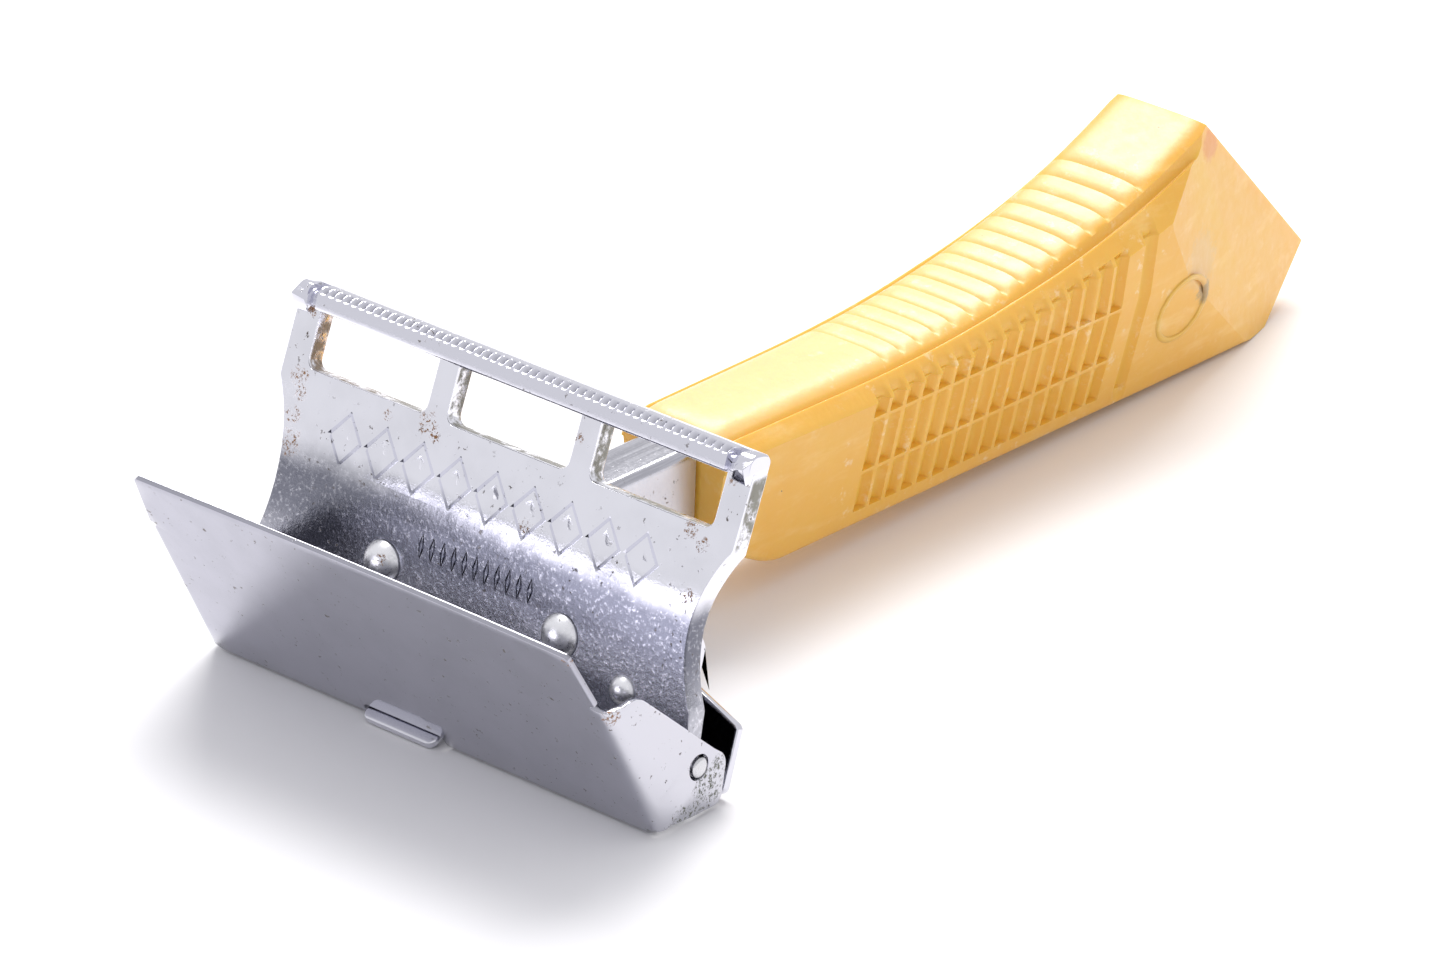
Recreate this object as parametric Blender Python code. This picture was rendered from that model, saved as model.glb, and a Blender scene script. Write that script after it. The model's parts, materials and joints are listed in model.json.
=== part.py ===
"""Single-edge safety razor with a flip-open cap, modelled with the cap open and the razor lying at rest.

Every size below is in millimetres, in the razor's own design frame: +X to its right, +Y from the head to
the handle's end, +Z away from the underside. The origin is where the windows' top edge meets the front
face of the guard plate. An empty carries that frame and tips it so that the razor lies on the floor.
"""

import math

import bmesh
import bpy
from mathutils import Matrix, Vector

MM = 0.001

# Guard plate: a thick stamping that leans back at the top, bends, and runs almost upright to the hinge.
PLATE_THICK = 1.7
PLATE_HALF_WIDTH = 20.75
UPPER_LEAN = math.radians(20.5)
LOWER_LEAN = math.radians(8.0)
BEND_START = 8.0  # distances down the front face, from the windows' top edge
BEND_LENGTH = 8.0
PLATE_LENGTH = 22.0
SHOULDER_AT = 5.3
WAIST_AT = 11.3
WAIST_HALF_WIDTH = 18.95
HIP_AT = 16.8
HIP_HALF_WIDTH = 20.12
PLATE_TAPER = 0.9  # length of the lower end's narrowed corners
PLATE_ROWS = 26

WINDOW_TOP = 0.15
WINDOW_BOTTOM = 4.2
WINDOW_OUTER = 18.6
BAR_OUTER = 7.42
BAR_INNER = 5.58
WINDOW_CORNER = 0.6

GUARD_HEIGHT = 1.6
GUARD_FORWARD = 0.55
GUARD_TEETH = 53
BLADE_LENGTH = 38.1
TOOTH_DEPTH = 0.38
LUG_WIDTH = 1.55
LUG_FORWARD = 1.15

# Hinge, on an axis along X through the plate's lower end.
PIN_Y, PIN_Z = -4.58, -19.77
PIN_RADIUS = 0.82
PIN_HEAD_RADIUS = 0.95
PIN_DEPTH = 4.0
RUNNING_GAP = 0.09

# Cap: a thin plate with two ears bent back round the ends of the guard plate.
SHEET = 0.55
CAP_LEAN = math.radians(28.6)  # forward lean of the open cap
CAP_LOW_Y, CAP_LOW_Z = -8.3, -23.95
CAP_LENGTH = 18.6
CAP_LOW_HALF = 20.9
CAP_FREE_HALF = 19.85
EAR_TOP = 13.6  # up the cap's face from its lower edge
EAR_OUTER = 20.9
HEM_RADIUS = 0.62

# Hairpin spring: its front leg is riveted to the plate, and its rear leg hangs behind the hinge.
LEAF = 0.62
LEAF_HALF_WIDTH = 20.6
LEAF_TOP_Y, LEAF_TOP_Z = 0.75, -17.2  # where the rear face meets the top edge
LEAF_LOW_Y, LEAF_LOW_Z = -1.12, -23.3
LEAF_SHOULDER = 16.1
LEAF_CORNER_Z = -18.6
TAB_INNER = 11.6
TAB_TOP_Z = -14.9

# Hook: the spring's tongue, which passes square through the cap's notch and stops the cap.
HOOK_CENTRE_X = -2.2
HOOK_WIDTH = 6.6
HOOK_THICK = 0.55
HOOK_TOP = 1.1  # up the cap's face from its lower edge
HOOK_REACH = 0.85  # out of the cap's face
NOTCH_TOP = 1.25
NOTCH_CLEARANCE = 0.45

# Rivets: (half distance apart, distance down the plate, dome radius, dome height, shank radius)
LARGE_RIVET = (8.2, 15.05, 1.58, 1.1, 0.8)
SMALL_RIVET = (14.2, 17.0, 1.05, 0.8, 0.55)
RIVET_FIT = 0.1
STACK_GAP = 0.12
TAIL_HEIGHT = 0.4

# Neck: a folded channel riveted behind the plate, with a tang inside the handle.
NECK_HALF_WIDTH = 2.3
NECK_TOP_Z = -9.0
NECK_LOW_Z = -16.3
NECK_SHEET = 0.9
FLANGE_THICK = 0.9
FLANGE_HALF_WIDTH = 10.6
TANG_HALF_WIDTH = 1.6
TANG_TOP_Z = -10.7
TANG_LOW_Z = -15.6
TANG_END_Y = 58.0

# Handle.
HANDLE_FRONT_Y = 16.2
HANDLE_LOW_Z = -20.3
HANDLE_TOP_Z = -9.0
HANDLE_CROWN = 1.4
FLARE_START_Y = 28.0
FLARE_Y = 42.5
FLARE_RISE = 8.1
FLARE_POWER = 2.5
SOCKET_GAP = 0.25
FACET_CORNER = (3.9, 71.3, -1.2)
FACET_NORMAL = (0.964, 0.258, 0.066)
TIP_Y, TIP_Z = 88.0, -16.0
HEEL_Y = 81.0

REST_TILT = math.radians(-2.3)  # the heel of the handle and the hook both touch the floor


def clear_scene():
    for obj in list(bpy.data.objects):
        bpy.data.objects.remove(obj, do_unlink=True)


def material(name, colour, roughness, metallic):
    made = bpy.data.materials.new(name)
    made.use_nodes = True
    shader = made.node_tree.nodes["Principled BSDF"]
    shader.inputs["Base Color"].default_value = (*colour, 1.0)
    shader.inputs["Roughness"].default_value = roughness
    shader.inputs["Metallic"].default_value = metallic
    return made


def new_object(name, bm, look=None, parent=None):
    """A mesh object from bm, whose coordinates are in millimetres of the design frame."""
    bmesh.ops.scale(bm, vec=(MM, MM, MM), verts=bm.verts)
    bmesh.ops.recalc_face_normals(bm, faces=bm.faces)
    mesh = bpy.data.meshes.new(name)
    bm.to_mesh(mesh)
    bm.free()
    obj = bpy.data.objects.new(name, mesh)
    bpy.context.scene.collection.objects.link(obj)
    obj.parent = parent
    if look:
        mesh.materials.append(look)
    return obj


def smooth(obj, angle=35.0):
    obj.data.shade_smooth()
    obj.data.set_sharp_from_angle(angle=math.radians(angle))


def cutter(name, bm, parent):
    obj = new_object(name, bm, parent=parent)
    obj.hide_render = True
    obj.display_type = "WIRE"
    return obj


def boolean(obj, other, operation="DIFFERENCE"):
    modifier = obj.modifiers.new(f"{operation.lower()} {other.name}", "BOOLEAN")
    modifier.object = other
    modifier.operation = operation
    modifier.solver = "EXACT"


def prism(loop, low, high, axis="X"):
    """A closed outline pushed along an axis, from low to high. The outline holds the other two coordinates."""
    order = {"X": lambda t, p: (t, p[0], p[1]), "Z": lambda t, p: (p[0], p[1], t)}[axis]
    bm = bmesh.new()
    face = bm.faces.new([bm.verts.new(order(low, point)) for point in loop])
    pushed = bmesh.ops.extrude_face_region(bm, geom=[face])
    along = Vector(order(high - low, (0.0, 0.0)))
    moved = [item for item in pushed["geom"] if isinstance(item, bmesh.types.BMVert)]
    bmesh.ops.translate(bm, vec=along, verts=moved)
    return bm


def joined(parts):
    """One bmesh that holds several, each still a separate body."""
    whole = bmesh.new()
    for part in parts:
        mesh = bpy.data.meshes.new("joining")
        part.to_mesh(mesh)
        part.free()
        whole.from_mesh(mesh)
        bpy.data.meshes.remove(mesh)
    return whole


def box(low, high):
    bm = bmesh.new()
    bmesh.ops.create_cube(bm, size=1.0)
    size = Vector(high) - Vector(low)
    bmesh.ops.scale(bm, vec=size, verts=bm.verts)
    bmesh.ops.translate(bm, vec=Vector(low) + size / 2, verts=bm.verts)
    return bm


def arc(centre, radius, start, end, steps):
    """Points of an arc; angles in degrees, from the first coordinate towards the second."""
    points = []
    for step in range(steps + 1):
        angle = math.radians(start + (end - start) * step / steps)
        points.append((centre[0] + radius * math.cos(angle), centre[1] + radius * math.sin(angle)))
    return points


def lean_at(distance):
    """The plate's lean from upright, at a distance down its front face."""
    bent = min(max(distance - BEND_START, 0.0), BEND_LENGTH) / BEND_LENGTH
    return UPPER_LEAN + (LOWER_LEAN - UPPER_LEAN) * bent


def on_plate(distance, depth=0.0):
    """(Y, Z) of a point down the front face, and depth behind it."""
    straight = min(distance, BEND_START)
    y, z = -math.sin(UPPER_LEAN) * straight, -math.cos(UPPER_LEAN) * straight
    lean = lean_at(distance)
    if distance > BEND_START:
        bent = min(distance - BEND_START, BEND_LENGTH)
        radius = BEND_LENGTH / (LOWER_LEAN - UPPER_LEAN)
        y += radius * (math.cos(lean) - math.cos(UPPER_LEAN))
        z -= radius * (math.sin(lean) - math.sin(UPPER_LEAN))
        below = distance - BEND_START - bent
        y -= math.sin(LOWER_LEAN) * below
        z -= math.cos(LOWER_LEAN) * below
    return y + depth * math.cos(lean), z - depth * math.sin(lean)


def plate_half_width(distance):
    """The plate's outline: straight beside the windows, then a waist, then hips beside the hinge."""
    if distance < SHOULDER_AT:
        return PLATE_HALF_WIDTH
    if distance < WAIST_AT:
        along = (distance - SHOULDER_AT) / (WAIST_AT - SHOULDER_AT)
        return WAIST_HALF_WIDTH + (PLATE_HALF_WIDTH - WAIST_HALF_WIDTH) * (1.0 - along) ** 2
    along = min((distance - WAIST_AT) / (HIP_AT - WAIST_AT), 1.0)
    return WAIST_HALF_WIDTH + (HIP_HALF_WIDTH - WAIST_HALF_WIDTH) * along**2


def bent_slab(rows, columns_of, front, back):
    """A slab that follows the plate's bend. rows are distances down it; columns_of gives (left, right)."""
    bm = bmesh.new()
    rings = []
    for distance in rows:
        left, right = columns_of(distance)
        near, far = on_plate(distance, front), on_plate(distance, back)
        corners = ((left, near), (right, near), (right, far), (left, far))
        rings.append([bm.verts.new((x, *point)) for x, point in corners])
    for above, below in zip(rings, rings[1:]):
        for i in range(4):
            j = (i + 1) % 4
            bm.faces.new((above[i], above[j], below[j], below[i]))
    bm.faces.new(rings[0])
    bm.faces.new(rings[-1])
    return bm


def rounded_window(left, right):
    """A cutter through the plate: square above, rounded corners below."""
    radius = WINDOW_CORNER
    low = WINDOW_BOTTOM - radius
    outline = [(left, WINDOW_TOP), (right, WINDOW_TOP)]
    outline += [(x, y) for x, y in arc((right - radius, low), radius, 0, 90, 4)]
    outline += [(x, y) for x, y in arc((left + radius, low), radius, 90, 180, 4)]
    bm = prism(outline, -2.0, PLATE_THICK + 1.0, axis="Z")
    return in_plate_axes(bm, 0.0)


def in_plate_axes(bm, distance, x=0.0):
    """Turns a shape drawn in (across, down, behind the front face) to where the plate is."""
    lean = lean_at(distance)
    across = Vector((1.0, 0.0, 0.0))
    down = Vector((0.0, -math.sin(lean), -math.cos(lean)))
    behind = Vector((0.0, math.cos(lean), -math.sin(lean)))
    turn = Matrix((across, down, behind)).transposed().to_4x4()
    turn.translation = Vector((x, *on_plate(distance)))
    bm.transform(turn)
    return bm


def guard_bar():
    """The rounded bar above the windows, drawn as an outline in the plate's own axes."""
    height, forward, thick = GUARD_HEIGHT, GUARD_FORWARD, PLATE_THICK
    outline = [(WINDOW_TOP, 0.0), (WINDOW_TOP - 0.1, -forward * 0.7)]
    outline += arc((-0.55 * height, 0.15), 0.55 + forward * 0.3, 245, 185, 6)
    outline += arc((-height + 0.35, thick - 0.65), 0.6, 180, 95, 4)
    outline += [(WINDOW_TOP, thick)]
    half = PLATE_HALF_WIDTH
    bm = prism(outline, -half, half, axis="X")
    return in_plate_axes(bm, 0.0)


def tooth_cutters():
    """V notches across the bar's top front edge, one for each tooth of the guard."""
    pitch = BLADE_LENGTH / GUARD_TEETH
    notches = []
    for tooth in range(GUARD_TEETH):
        x = -BLADE_LENGTH / 2 + pitch * (tooth + 0.5)
        outline = [(x - 0.36 * pitch, -1.0), (x + 0.36 * pitch, -1.0), (x, TOOTH_DEPTH)]
        notch = prism(outline, -0.75, 0.75, axis="Z")
        tip = Matrix.Rotation(math.radians(-52.0), 4, "X")
        place = Matrix.Translation((0.0, -GUARD_HEIGHT * 0.66, -0.3))
        notch.transform(place @ tip)
        notches.append(in_plate_axes(notch, 0.0))
    return joined(notches)


def lug(side):
    """A blade stop at one end of the guard: a small wedge that stands forward of the bar."""
    outer = side * (PLATE_HALF_WIDTH - 0.02)
    inner = side * (PLATE_HALF_WIDTH - LUG_WIDTH)
    outline = [(0.75, 0.3), (0.45, -LUG_FORWARD * 0.35), (-0.45, -LUG_FORWARD), (-1.25, -0.35), (-1.45, 0.5)]
    bm = prism(outline, min(outer, inner), max(outer, inner), axis="X")
    return in_plate_axes(bm, 0.0)


def round_hole(x, distance, radius, sides=24):
    bm = bmesh.new()
    bmesh.ops.create_cone(
        bm, cap_ends=True, segments=sides, radius1=radius, radius2=radius, depth=12.0
    )
    return in_plate_axes(bm, distance, x)


def rivet_places(rivet):
    return [(side * rivet[0], rivet[1], rivet[4]) for side in (-1, 1)]


def guard_plate(look, frame):
    taper_at = PLATE_LENGTH - PLATE_TAPER
    side_length = taper_at - SHOULDER_AT
    rows = [WINDOW_TOP - 0.6]
    rows += [SHOULDER_AT + side_length * i / PLATE_ROWS for i in range(PLATE_ROWS + 1)]
    rows += [PLATE_LENGTH - 0.35, PLATE_LENGTH]

    def columns(distance):
        half = plate_half_width(distance)
        half -= 0.9 * max(distance - taper_at, 0.0)
        return -half, half

    plate = new_object("guard_plate", bent_slab(rows, columns, 0.0, PLATE_THICK), look, frame)
    for name, shape in (
        ("bar_shape", guard_bar()),
        ("left_lug_shape", lug(-1)),
        ("right_lug_shape", lug(1)),
    ):
        boolean(plate, cutter(name, shape, frame), "UNION")
    windows = [
        rounded_window(-WINDOW_OUTER, -BAR_OUTER),
        rounded_window(-BAR_INNER, BAR_INNER),
        rounded_window(BAR_OUTER, WINDOW_OUTER),
    ]
    boolean(plate, cutter("window_cutters", joined(windows), frame))
    boolean(plate, cutter("tooth_cutters", tooth_cutters(), frame))
    holes = [
        round_hole(x, distance, shank + RIVET_FIT)
        for x, distance, shank in rivet_places(LARGE_RIVET) + rivet_places(SMALL_RIVET)
    ]
    holes += [pin_bore(side, PIN_DEPTH + 0.3, PIN_RADIUS + RUNNING_GAP) for side in (-1, 1)]
    boolean(plate, cutter("plate_holes", joined(holes), frame))
    smooth(plate)
    return plate


def along_x(radius, low, high, sides=32):
    bm = bmesh.new()
    bmesh.ops.create_cone(
        bm, cap_ends=True, segments=sides, radius1=radius, radius2=radius, depth=high - low
    )
    turn = Matrix.Rotation(math.radians(90.0), 4, "Y")
    bm.transform(Matrix.Translation(((low + high) / 2, PIN_Y, PIN_Z)) @ turn)
    return bm


def pin_bore(side, depth, radius):
    outer = side * (EAR_OUTER + 2.0)
    inner = side * (HIP_HALF_WIDTH - depth)
    return along_x(radius, min(outer, inner), max(outer, inner))


def hinge_pin(side, look, frame):
    """A headed pin, pressed into the plate's side edge; the ear turns on it."""
    ends = (HIP_HALF_WIDTH - PIN_DEPTH, EAR_OUTER + 0.12, EAR_OUTER + 0.42)
    profile = [(0.0, ends[0]), (PIN_RADIUS - 0.15, ends[0]), (PIN_RADIUS, ends[0] + 0.15)]
    profile += [(PIN_RADIUS, ends[1]), (PIN_HEAD_RADIUS, ends[1]), (PIN_HEAD_RADIUS, ends[2] - 0.12)]
    profile += [(PIN_HEAD_RADIUS - 0.2, ends[2]), (0.0, ends[2] + 0.05)]
    name = "hinge_pin_right" if side > 0 else "hinge_pin_left"
    bm = turned(profile, 32)
    turn = Matrix.Rotation(math.radians(90.0 * side), 4, "Y")
    bm.transform(Matrix.Translation((0.0, PIN_Y, PIN_Z)) @ turn)
    pin = new_object(name, bm, look, frame)
    smooth(pin)
    return pin


def turned(profile, sides):
    """A solid turned round +Z from (radius, height) points, with both ends on the axis."""
    bm = bmesh.new()
    rings = []
    for radius, height in profile:
        if radius == 0.0:
            rings.append([bm.verts.new((0.0, 0.0, height))])
            continue
        turn = [2.0 * math.pi * i / sides for i in range(sides)]
        ring = [(radius * math.cos(a), radius * math.sin(a), height) for a in turn]
        rings.append([bm.verts.new(point) for point in ring])
    for low, high in zip(rings, rings[1:]):
        for i in range(sides):
            j = (i + 1) % sides
            around = [low[i % len(low)], low[j % len(low)], high[j % len(high)], high[i % len(high)]]
            bm.faces.new(list(dict.fromkeys(around)))
    return bm


def rivet(kind, name, side, look, frame):
    """A domed rivet: dome on the plate's front face, shank through the stack, flat tail behind."""
    apart, distance, radius, height, shank = kind
    stack = PLATE_THICK + STACK_GAP + (FLANGE_THICK if kind is LARGE_RIVET else LEAF)
    ball = (radius**2 + height**2) / (2.0 * height)
    profile = [(0.0, -height)]
    for step in range(1, 7):
        across = radius * math.sin(math.radians(15.0 * step))
        profile.append((across, ball - height - math.sqrt(ball**2 - across**2)))
    profile[-1] = (radius, -0.12)
    profile += [(radius, -0.05), (shank, -0.05), (shank, stack + 0.1), (radius * 0.85, stack + 0.1)]
    profile += [(radius * 0.75, stack + 0.05 + TAIL_HEIGHT), (0.0, stack + 0.1 + TAIL_HEIGHT)]
    bm = in_plate_axes(turned(profile, 24), distance, side * apart)
    made = new_object(name, bm, look, frame)
    smooth(made)
    return made


def on_cap(up, depth=0.0):
    """(Y, Z) of a point up the cap's outer face from its lower edge, and depth behind it."""
    y = CAP_LOW_Y - math.sin(CAP_LEAN) * up + math.cos(CAP_LEAN) * depth
    z = CAP_LOW_Z + math.cos(CAP_LEAN) * up + math.sin(CAP_LEAN) * depth
    return y, z


def cap_plate_outline():
    """The flat part's outline in (across, up)."""
    half = CAP_LOW_HALF - SHEET * 0.4
    right = [(half, 0.5), (half, EAR_TOP), (CAP_FREE_HALF, CAP_LENGTH - 0.2), (CAP_FREE_HALF - 0.2, CAP_LENGTH)]
    left = [(-x, up) for x, up in reversed(right)]
    return right + left


def ear_outline():
    """An ear's outline in (Y, Z): from the cap's face, along the top, round the hinge, and back below."""
    top = [on_cap(EAR_TOP - 0.1, 0.1), (-13.7, -12.45), (-12.6, -12.62), (-11.4, -12.45), (-10.9, -12.45)]
    top += [(-10.1, -12.95), (-3.0, -18.9)]
    corner = arc((-3.15, -20.45), 1.35, 52, -5, 5)
    rear = [(-2.1, -22.2)]
    low = arc((-3.0, -22.35), 0.95, 10, -80, 5)
    foot = [(-5.3, -23.36), (-7.2, -23.1), on_cap(0.55, 0.1)]
    return top + corner + rear + low + foot


def hem():
    """The cap's lower edge, rolled inwards."""
    centre = on_cap(HEM_RADIUS, HEM_RADIUS)
    lean = math.degrees(CAP_LEAN)
    outline = arc(centre, HEM_RADIUS, 180 + lean, 360 + lean + 50, 12)
    inner = arc(centre, 0.1, 360 + lean + 50, 180 + lean, 4)
    half = CAP_LOW_HALF - SHEET
    return prism(outline + inner, -half, half, axis="X")


def cap(look, frame):
    outline = cap_plate_outline()
    bm = bmesh.new()
    near = [bm.verts.new((x, *on_cap(up, 0.0))) for x, up in outline]
    far = [bm.verts.new((x, *on_cap(up, SHEET))) for x, up in outline]
    bm.faces.new(near)
    bm.faces.new(far)
    for i in range(len(outline)):
        j = (i + 1) % len(outline)
        bm.faces.new((near[i], near[j], far[j], far[i]))
    made = new_object("cap", bm, look, frame)
    boolean(made, cutter("hem_shape", hem(), frame), "UNION")
    for side, name in ((-1, "left_ear_shape"), (1, "right_ear_shape")):
        ends = sorted((side * EAR_OUTER, side * (EAR_OUTER - SHEET)))
        boolean(made, cutter(name, prism(ear_outline(), *ends), frame), "UNION")
    holes = [along_x(PIN_RADIUS + RUNNING_GAP, *sorted((side * 19.5, side * 22.0))) for side in (-1, 1)]
    boolean(made, cutter("ear_holes", joined(holes), frame))
    boolean(made, cutter("notch_cutter", notch_shape(), frame))
    smooth(made)
    return made


def notch_shape():
    """The slot in the cap's lower edge that the hook passes through."""
    half = HOOK_WIDTH / 2 + NOTCH_CLEARANCE
    corners = [on_cap(-1.0, -1.5), on_cap(NOTCH_TOP, -1.5), on_cap(NOTCH_TOP, 3.0), on_cap(-1.0, 3.0)]
    return prism(corners, HOOK_CENTRE_X - half, HOOK_CENTRE_X + half)


def strip(points, thick, low, high):
    """A sheet strip: points along its face in (Y, Z), thickened to the left of travel."""
    outer = [Vector(point) for point in points]
    inner = []
    for i, point in enumerate(outer):
        before = (point - outer[i - 1]).normalized() if i else None
        after = (outer[i + 1] - point).normalized() if i + 1 < len(outer) else None
        before, after = before or after, after or before
        left = Vector((-(before + after).y, (before + after).x)).normalized()
        reach = thick / max(0.4, left.dot(Vector((-before.y, before.x))))
        inner.append(point + left * reach)
    return prism([tuple(p) for p in outer] + [tuple(p) for p in reversed(inner)], low, high)


def spring_plate(look, frame):
    """A hairpin leaf: two front legs riveted to the plate, a full-width rear leg, and the hook."""
    slope = (LEAF_TOP_Y - LEAF_LOW_Y) / (LEAF_TOP_Z - LEAF_LOW_Z)

    def rear(z):
        return LEAF_LOW_Y + slope * (z - LEAF_LOW_Z), z

    outline = [(LEAF_HALF_WIDTH, LEAF_LOW_Z + 0.5), (LEAF_HALF_WIDTH, LEAF_CORNER_Z)]
    outline += [(LEAF_SHOULDER, LEAF_TOP_Z), (LEAF_SHOULDER - 0.1, TAB_TOP_Z + 0.4)]
    outline += [(TAB_INNER, TAB_TOP_Z + 0.4), (TAB_INNER, LEAF_TOP_Z - 0.2)]
    outline += [(-x, z) for x, z in reversed(outline)]
    outline += [(-LEAF_HALF_WIDTH + 0.5, LEAF_LOW_Z), (LEAF_HALF_WIDTH - 0.5, LEAF_LOW_Z)]
    bm = bmesh.new()
    back = [bm.verts.new((x, *rear(z))) for x, z in outline]
    front = [bm.verts.new((x, rear(z)[0] - LEAF, z + LEAF * slope)) for x, z in outline]
    bm.faces.new(back)
    bm.faces.new(front)
    for i in range(len(outline)):
        j = (i + 1) % len(outline)
        bm.faces.new((back[i], back[j], front[j], front[i]))
    made = new_object("spring_plate", bm, look, frame)
    rivet_at = SMALL_RIVET[1]
    lower = on_plate(rivet_at + 1.3, PLATE_THICK + STACK_GAP)
    upper = on_plate(rivet_at - 1.5, PLATE_THICK + STACK_GAP)
    rear_y, rear_z = rear(TAB_TOP_Z + 0.2)
    middle = ((upper[0] + rear_y) / 2, upper[1])
    reach = (rear_y - upper[0]) / 2
    bow = arc(middle, reach, 180, 0, 8)
    hairpin = [rear(TAB_TOP_Z - 0.6), (rear_y, rear_z)] + list(reversed(bow))[1:-1] + [upper, lower]
    for side, name in ((-1, "left_leg_shape"), (1, "right_leg_shape")):
        ends = sorted((side * TAB_INNER, side * (LEAF_SHOULDER - 0.1)))
        boolean(made, cutter(name, strip(hairpin, LEAF, *ends), frame), "UNION")
    half = HOOK_WIDTH / 2
    hook = strip(hook_path(), HOOK_THICK, HOOK_CENTRE_X - half, HOOK_CENTRE_X + half)
    boolean(made, cutter("hook_shape", hook, frame), "UNION")
    holes = [round_hole(x, distance, shank + RIVET_FIT) for x, distance, shank in rivet_places(SMALL_RIVET)]
    boolean(made, cutter("spring_holes", joined(holes), frame))
    smooth(made)
    return made


def hook_path():
    """(Y, Z) points along the tongue's top face, from inside the spring's lower edge to its free end."""
    start = (LEAF_LOW_Y - 0.35, LEAF_LOW_Z + 0.55)
    bend_y, bend_z = on_cap(HOOK_TOP, 1.3)
    return [start, (bend_y + 0.6, bend_z + 0.08), on_cap(HOOK_TOP, 0.7), on_cap(HOOK_TOP, -HOOK_REACH)]


def neck(look, frame):
    """A folded channel with two flanges against the plate, and a tang that enters the handle."""
    behind = PLATE_THICK + STACK_GAP
    flange_rows = [12.2 + 5.0 * i / 6 for i in range(7)]
    flange = bent_slab(
        flange_rows, lambda d: (-FLANGE_HALF_WIDTH, FLANGE_HALF_WIDTH), behind, behind + FLANGE_THICK
    )
    made = new_object("neck", flange, look, frame)
    face_top = on_plate(8.6, behind)
    face_low = on_plate(15.6, behind)
    channel = [face_top, (face_top[0] + 0.8, NECK_TOP_Z), (HANDLE_FRONT_Y - 0.3, NECK_TOP_Z)]
    channel += [(HANDLE_FRONT_Y - 0.3, NECK_LOW_Z), (face_low[0] + 2.5, NECK_LOW_Z), face_low]
    half = NECK_HALF_WIDTH
    boolean(made, cutter("channel_shape", prism(channel, -half, half), frame), "UNION")
    hollow_low = (FLANGE_THICK + 2.0 + face_low[0], NECK_LOW_Z - 1.0)
    hollow = box(
        (-half + NECK_SHEET, hollow_low[0], hollow_low[1]),
        (half - NECK_SHEET, HANDLE_FRONT_Y - 0.3 - NECK_SHEET, NECK_TOP_Z - NECK_SHEET),
    )
    boolean(made, cutter("channel_hollow", hollow, frame))
    tang = box(
        (-TANG_HALF_WIDTH, HANDLE_FRONT_Y - 1.0, TANG_LOW_Z), (TANG_HALF_WIDTH, TANG_END_Y, TANG_TOP_Z)
    )
    boolean(made, cutter("tang_shape", tang, frame), "UNION")
    holes = [round_hole(x, distance, shank + RIVET_FIT) for x, distance, shank in rivet_places(LARGE_RIVET)]
    boolean(made, cutter("flange_holes", joined(holes), frame))
    smooth(made)
    return made


def handle_top(y):
    """Height of the side bands: level near the head, sweeping up to the end."""
    along = max(y - FLARE_START_Y, 0.0) / FLARE_Y
    return HANDLE_TOP_Z + FLARE_RISE * along**FLARE_POWER


def handle_section(y):
    """The right half of the handle's section at y, from the crown down to the middle of the underside."""
    along = min(max((y - HANDLE_FRONT_Y) / 54.0, 0.0), 1.0)
    groove = 3.85 + 0.85 * along
    wall = 5.2 + 1.0 * along
    low_half = 3.1 + 0.4 * along
    top = handle_top(y)
    front = max(1.0 - (y - HANDLE_FRONT_Y) / 8.5, 0.0)
    low = HANDLE_LOW_Z + 4.8 * front**1.6
    top -= 0.6 * max(1.0 - (y - HANDLE_FRONT_Y) / 2.0, 0.0) ** 2
    crown_half = groove - 0.35
    shoulder = 0.5 + 0.5 * along
    points = [(0.0, top + HANDLE_CROWN)]
    for step in (0.5, 0.75, 0.9, 1.0):
        points.append((crown_half * step, top + HANDLE_CROWN - 0.55 * step**6 - 0.12 * step**2))
    points += [(groove, top + 0.33), (groove + 0.3, top + 0.5), (wall - 0.06, top - shoulder)]
    slope = (wall - low_half) / (HANDLE_TOP_Z - HANDLE_LOW_Z)
    points += [(low_half + slope * (low + 0.5 - HANDLE_LOW_Z), low + 0.5), (low_half - 0.5, low), (0.0, low)]
    return points


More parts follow.
